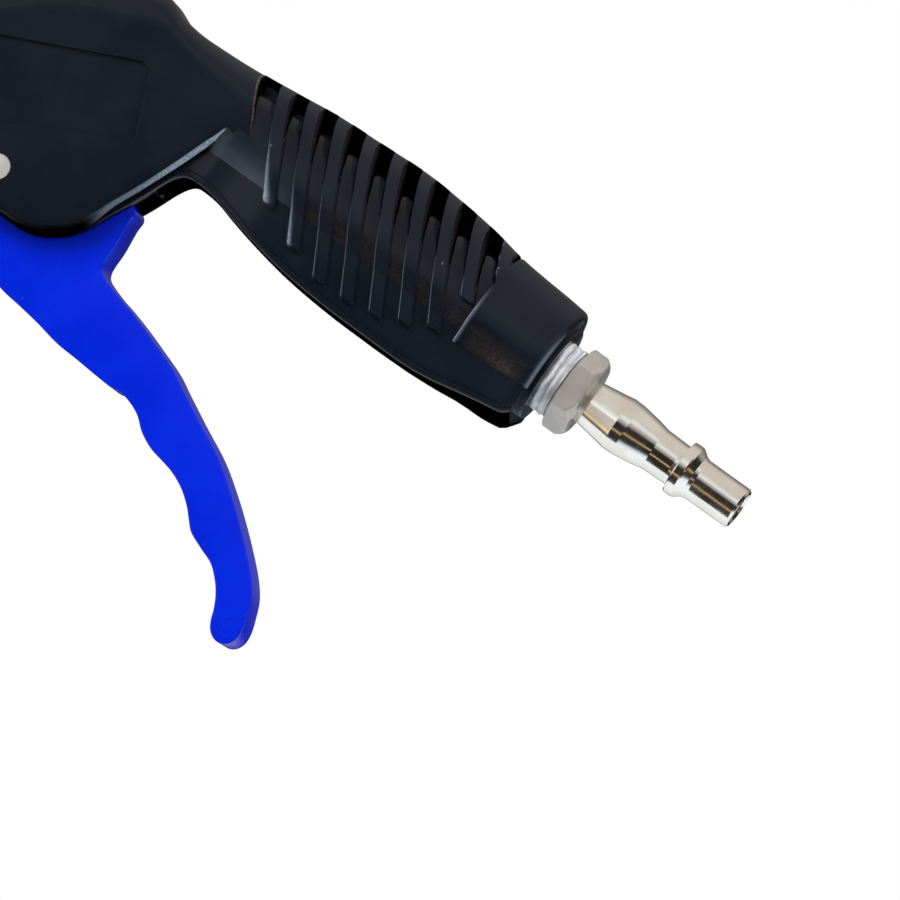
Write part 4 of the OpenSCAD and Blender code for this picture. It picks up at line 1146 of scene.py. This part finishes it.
def makeTrigger():
    # a plate of even thickness between two flat sides, its edge rounded by quarter turns; the
    # outline starts at its tip and has as many points up to the top as back down
    points = np.array(trigger["rear"][::-1] + trigger["front"][::-1]) * trigger["drop"]
    outline = closedCurve(points, 4000)
    outline = np.roll(outline, -int(np.argmin(outline[:, 1])), axis=0)
    top = int(np.argmin(np.linalg.norm(outline - np.array(trigger["top"]), axis=1)))
    outline = np.vstack([outline[np.linspace(start, end, 261).astype(int)[:-1]]
                         for start, end in ((0, top), (top, len(outline)))])
    inward = inwardNormals(outline)
    half, r = trigger["half"], trigger["edge"]
    turns = np.linspace(0, math.pi / 2, 8)
    steps = [(r * (1 - math.cos(t)), half - r * (1 - math.sin(t))) for t in turns]
    rings = [(outline + inward * step, -y) for step, y in steps[::-1]]
    rings += [(outline + inward * step, y) for step, y in steps]
    count = len(outline)
    faces = loftFaces(len(rings), count, "open")
    faces += zipFaces(0, count, True) + zipFaces((len(rings) - 1) * count, count)
    piece = makeMesh("triggerLever", stacked(rings), faces, "trigger_lever", "trigger",
                     materials["triggerBlue"], 30)
    cutters = [roundCutter("lever", acrossAt(0, 0))]
    carve(piece, cutters, 30)
    dropCutters(cutters)
    # the moulding mark near the tip: a fine raised ring
    a = np.linspace(0, 2 * np.pi, 12, endpoint=False)
    loop = np.stack([half + trigger["markLine"] * 0.5 * np.sin(a),
                     trigger["markRadius"] + trigger["markLine"] * np.cos(a)], axis=1)
    ring = makeLoft("triggerMark", turned(loop, 96, acrossAt(*trigger["mark"])), "trigger_lever",
                    "trigger", "triggerBlue", 60, "joined")
    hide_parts("trigger")
    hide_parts("trigger")


makeTrigger()
print("stage: trigger")

plug = {
    "out": 42.3, "nose": 4.0,
    # from the nose inward: shares of the length that stands out, and of the nose's radius
    "shares": [[1, 0.80], [0.998, 0.93], [0.988, 1], [0.785, 1], [0.765, 1.05], [0.735, 1.28],
               [0.728, 1.312], [0.694, 1.312], [0.688, 1.28], [0.686, 1.03], [0.670, 1.01],
               [0.565, 1.04], [0.505, 1.165], [0.425, 1.285], [0.375, 1.305], [0.330, 1.225],
               [0.200, 1.025]],
    "bore": 2.72, "boreFrom": -0.2, "boreLip": (0.5, 0.4),
    "hex": 14.3, "hexFrom": 0.104, "hexTo": 0.209,
    # the cone that takes off its corners, at the tape and at the outer end
    "hexRise": (6.6, 2.0, 0.8),
    "hexEnd": [[0.9, 8.5], [0.5, 8.4], [0.2, 8.1], [0, 7.6], [0, 3.0]],
}


def makePlug():
    # the turned body is a profile swung round the axis
    out, bore = plug["out"], plug["bore"]
    profile = [[-s * out, r * plug["nose"]] for s, r in plug["shares"]]
    length, widen = plug["boreLip"]
    inner = [[plug["boreFrom"] * out, bore], [length - out, bore], [-out, bore + widen]]
    body = makeLoft("plugBody", turned(profile + inner, 192, alongHandle), "gun_body", "plug",
                    "nickel", 5, "joined")
    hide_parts("inlet_plug")
    # the hexagon is a prism of half width / cos(angle from the middle of a flat), or the cone where
    # that is less
    a = np.linspace(0, 2 * np.pi, 240, endpoint=False)
    hexRadius = plug["hex"] / 2 / np.cos(a % (np.pi / 3) - np.pi / 6)
    start, end = -plug["hexTo"] * out, -plug["hexFrom"] * out
    t = np.linspace(0, 1, 10)
    first, more, power = plug["hexRise"]
    rise = np.stack([start + t**1.5 * 2.0, first + more * t**power], axis=1)
    ending = np.array(plug["hexEnd"]) * [-1, 1] + [end, 0]
    along, cone = np.vstack([[[start, 3.0], [start, 6.4]], rise, ending]).T
    radius = np.minimum(hexRadius[None, :], cone[:, None])
    points = alongHandle(along[:, None] + 0 * radius, radius * np.cos(a), radius * np.sin(a))
    nut = makeLoft("plugHexagon", points, "gun_body", "plug", "hexNickel", 30)
    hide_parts("inlet_plug")


tape = {"radius": 6.75, "pitch": 1.337, "ridge": 0.12, "from": -4.3, "to": 8.0, "tuck": 1.2}


def makeTape():
    # a tube along the thread: its radius follows a helix of the thread's pitch, with small uneven
    # folds from a few sines and one layer's edge
    u = np.linspace(tape["from"], tape["to"], 240)[:, None]
    a = np.linspace(0, 2 * np.pi, 220, endpoint=False)[None, :]
    helix = np.sin(2 * np.pi * u / tape["pitch"] + a)
    folds = (0.05 * np.sin(5 * a + 3.1 * u) + 0.04 * np.sin(11 * a - 4.3 * u + 1.3)
             + 0.03 * np.sin(2 * a + 9.0 * u) * np.sin(3 * a - 2.2 * u)
             + 0.05 * np.abs(np.sin(4.1 * u + 0.5 * a + 0.7 * np.sin(2 * a))) ** 0.5)
    layer = 0.10 * smoothStep(-0.1, 0.1, np.sin(a * 0.5 + 0.4 + 0.6 * u))
    radius = tape["radius"] + tape["ridge"] * np.clip(helix * 1.4, -1, 1) + folds + layer
    radius = radius - tape["tuck"] * (1 - smoothStep(tape["from"], tape["from"] + 0.25, u))
    points = alongHandle(u + 0 * a, radius * np.cos(a), radius * np.sin(a))
    piece = makeLoft("woundTape", points, "gun_body", "tape", "threadTape", 60)
    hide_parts("thread_tape")


makePlug()
makeTape()
print("stage: plug and tape")

nozzle = {
    "front": 26.96, "radius": 4.0, "bore": 2.48, "length": 84.0,
    "tip": 5.2, "tipLength": 16.79, "tipRoom": 4.1, "tipBore": 1.0, "tipWeb": 8.6,
    # the tip's rear edge: place, and share of its radius
    "tipEdge": [[0, 0.9], [0.25, 0.97], [0.7, 1]],
    "domeFrom": 0.60, "domeDrop": 0.42, "domePower": 2.2,
}


def makeNozzle():
    # both pieces are profiles swung round the nozzle's axis; the tip's dome drops by a power of its
    # length
    start, radius, bore = nozzle["front"], nozzle["radius"], nozzle["bore"]
    end = start + nozzle["length"] - 1.6 * radius
    profile = [[start, radius], [end, radius], [end, bore], [start, bore]]
    tube = makeLoft("nozzleTube", turned(profile, 128, onNozzle), "gun_body", "nozzle",
                    "nozzleBlack", 30, "joined")
    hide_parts("nozzle_tube")
    r, length, base = nozzle["tip"], nozzle["tipLength"], end - 2 * radius
    t = np.linspace(0, 1, 24)
    dome = np.stack([base + length * (nozzle["domeFrom"] + (1 - nozzle["domeFrom"]) * t),
                     r * (1 - nozzle["domeDrop"] * t ** nozzle["domePower"])], axis=1)
    room, hole, web = nozzle["tipRoom"], nozzle["tipBore"], base + length - nozzle["tipWeb"]
    profile = np.vstack([[[base, room]], [[base + s, r * share] for s, share in nozzle["tipEdge"]],
                         dome, [[base + length, hole], [web, hole], [web, room]]])
    tip = makeLoft("nozzleTip", turned(profile, 128, onNozzle), "gun_body", "nozzle",
                   "nozzleBlack", 30, "joined")
    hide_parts("nozzle_tip")


makeNozzle()
print("stage: nozzle")

spring = {"radius": 3.404, "wire": 0.4, "turns": 4, "steps": 48, "sides": 20, "travel": 2.7}


def makeSpring():
    # a round wire on a helix about the valve's axis, as tall as its node; its top stays under the
    # cap
    low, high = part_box("valve_spring")
    bottom, top = (low.z / mm - pinPlace[2], high.z / mm - pinPlace[2])
    wire, turns = spring["wire"], spring["turns"]
    turn = np.linspace(0, turns, turns * spring["steps"] + 1)[:, None]
    a = 2 * np.pi * turn
    b = np.linspace(0, 2 * np.pi, spring["sides"], endpoint=False)[None, :]
    out = spring["radius"] + wire * np.cos(b)
    rise = bottom + wire + (top - bottom - 2 * wire) / turns * turn + wire * np.sin(b)
    coil = makeLoft("springCoil", onValve(rise, out * np.cos(a), out * np.sin(a)), "gun_body",
                    "plated_steel", "zincSteel", 40)
    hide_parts("valve_spring")
    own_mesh(coil)


makeSpring()
print("stage: spring")
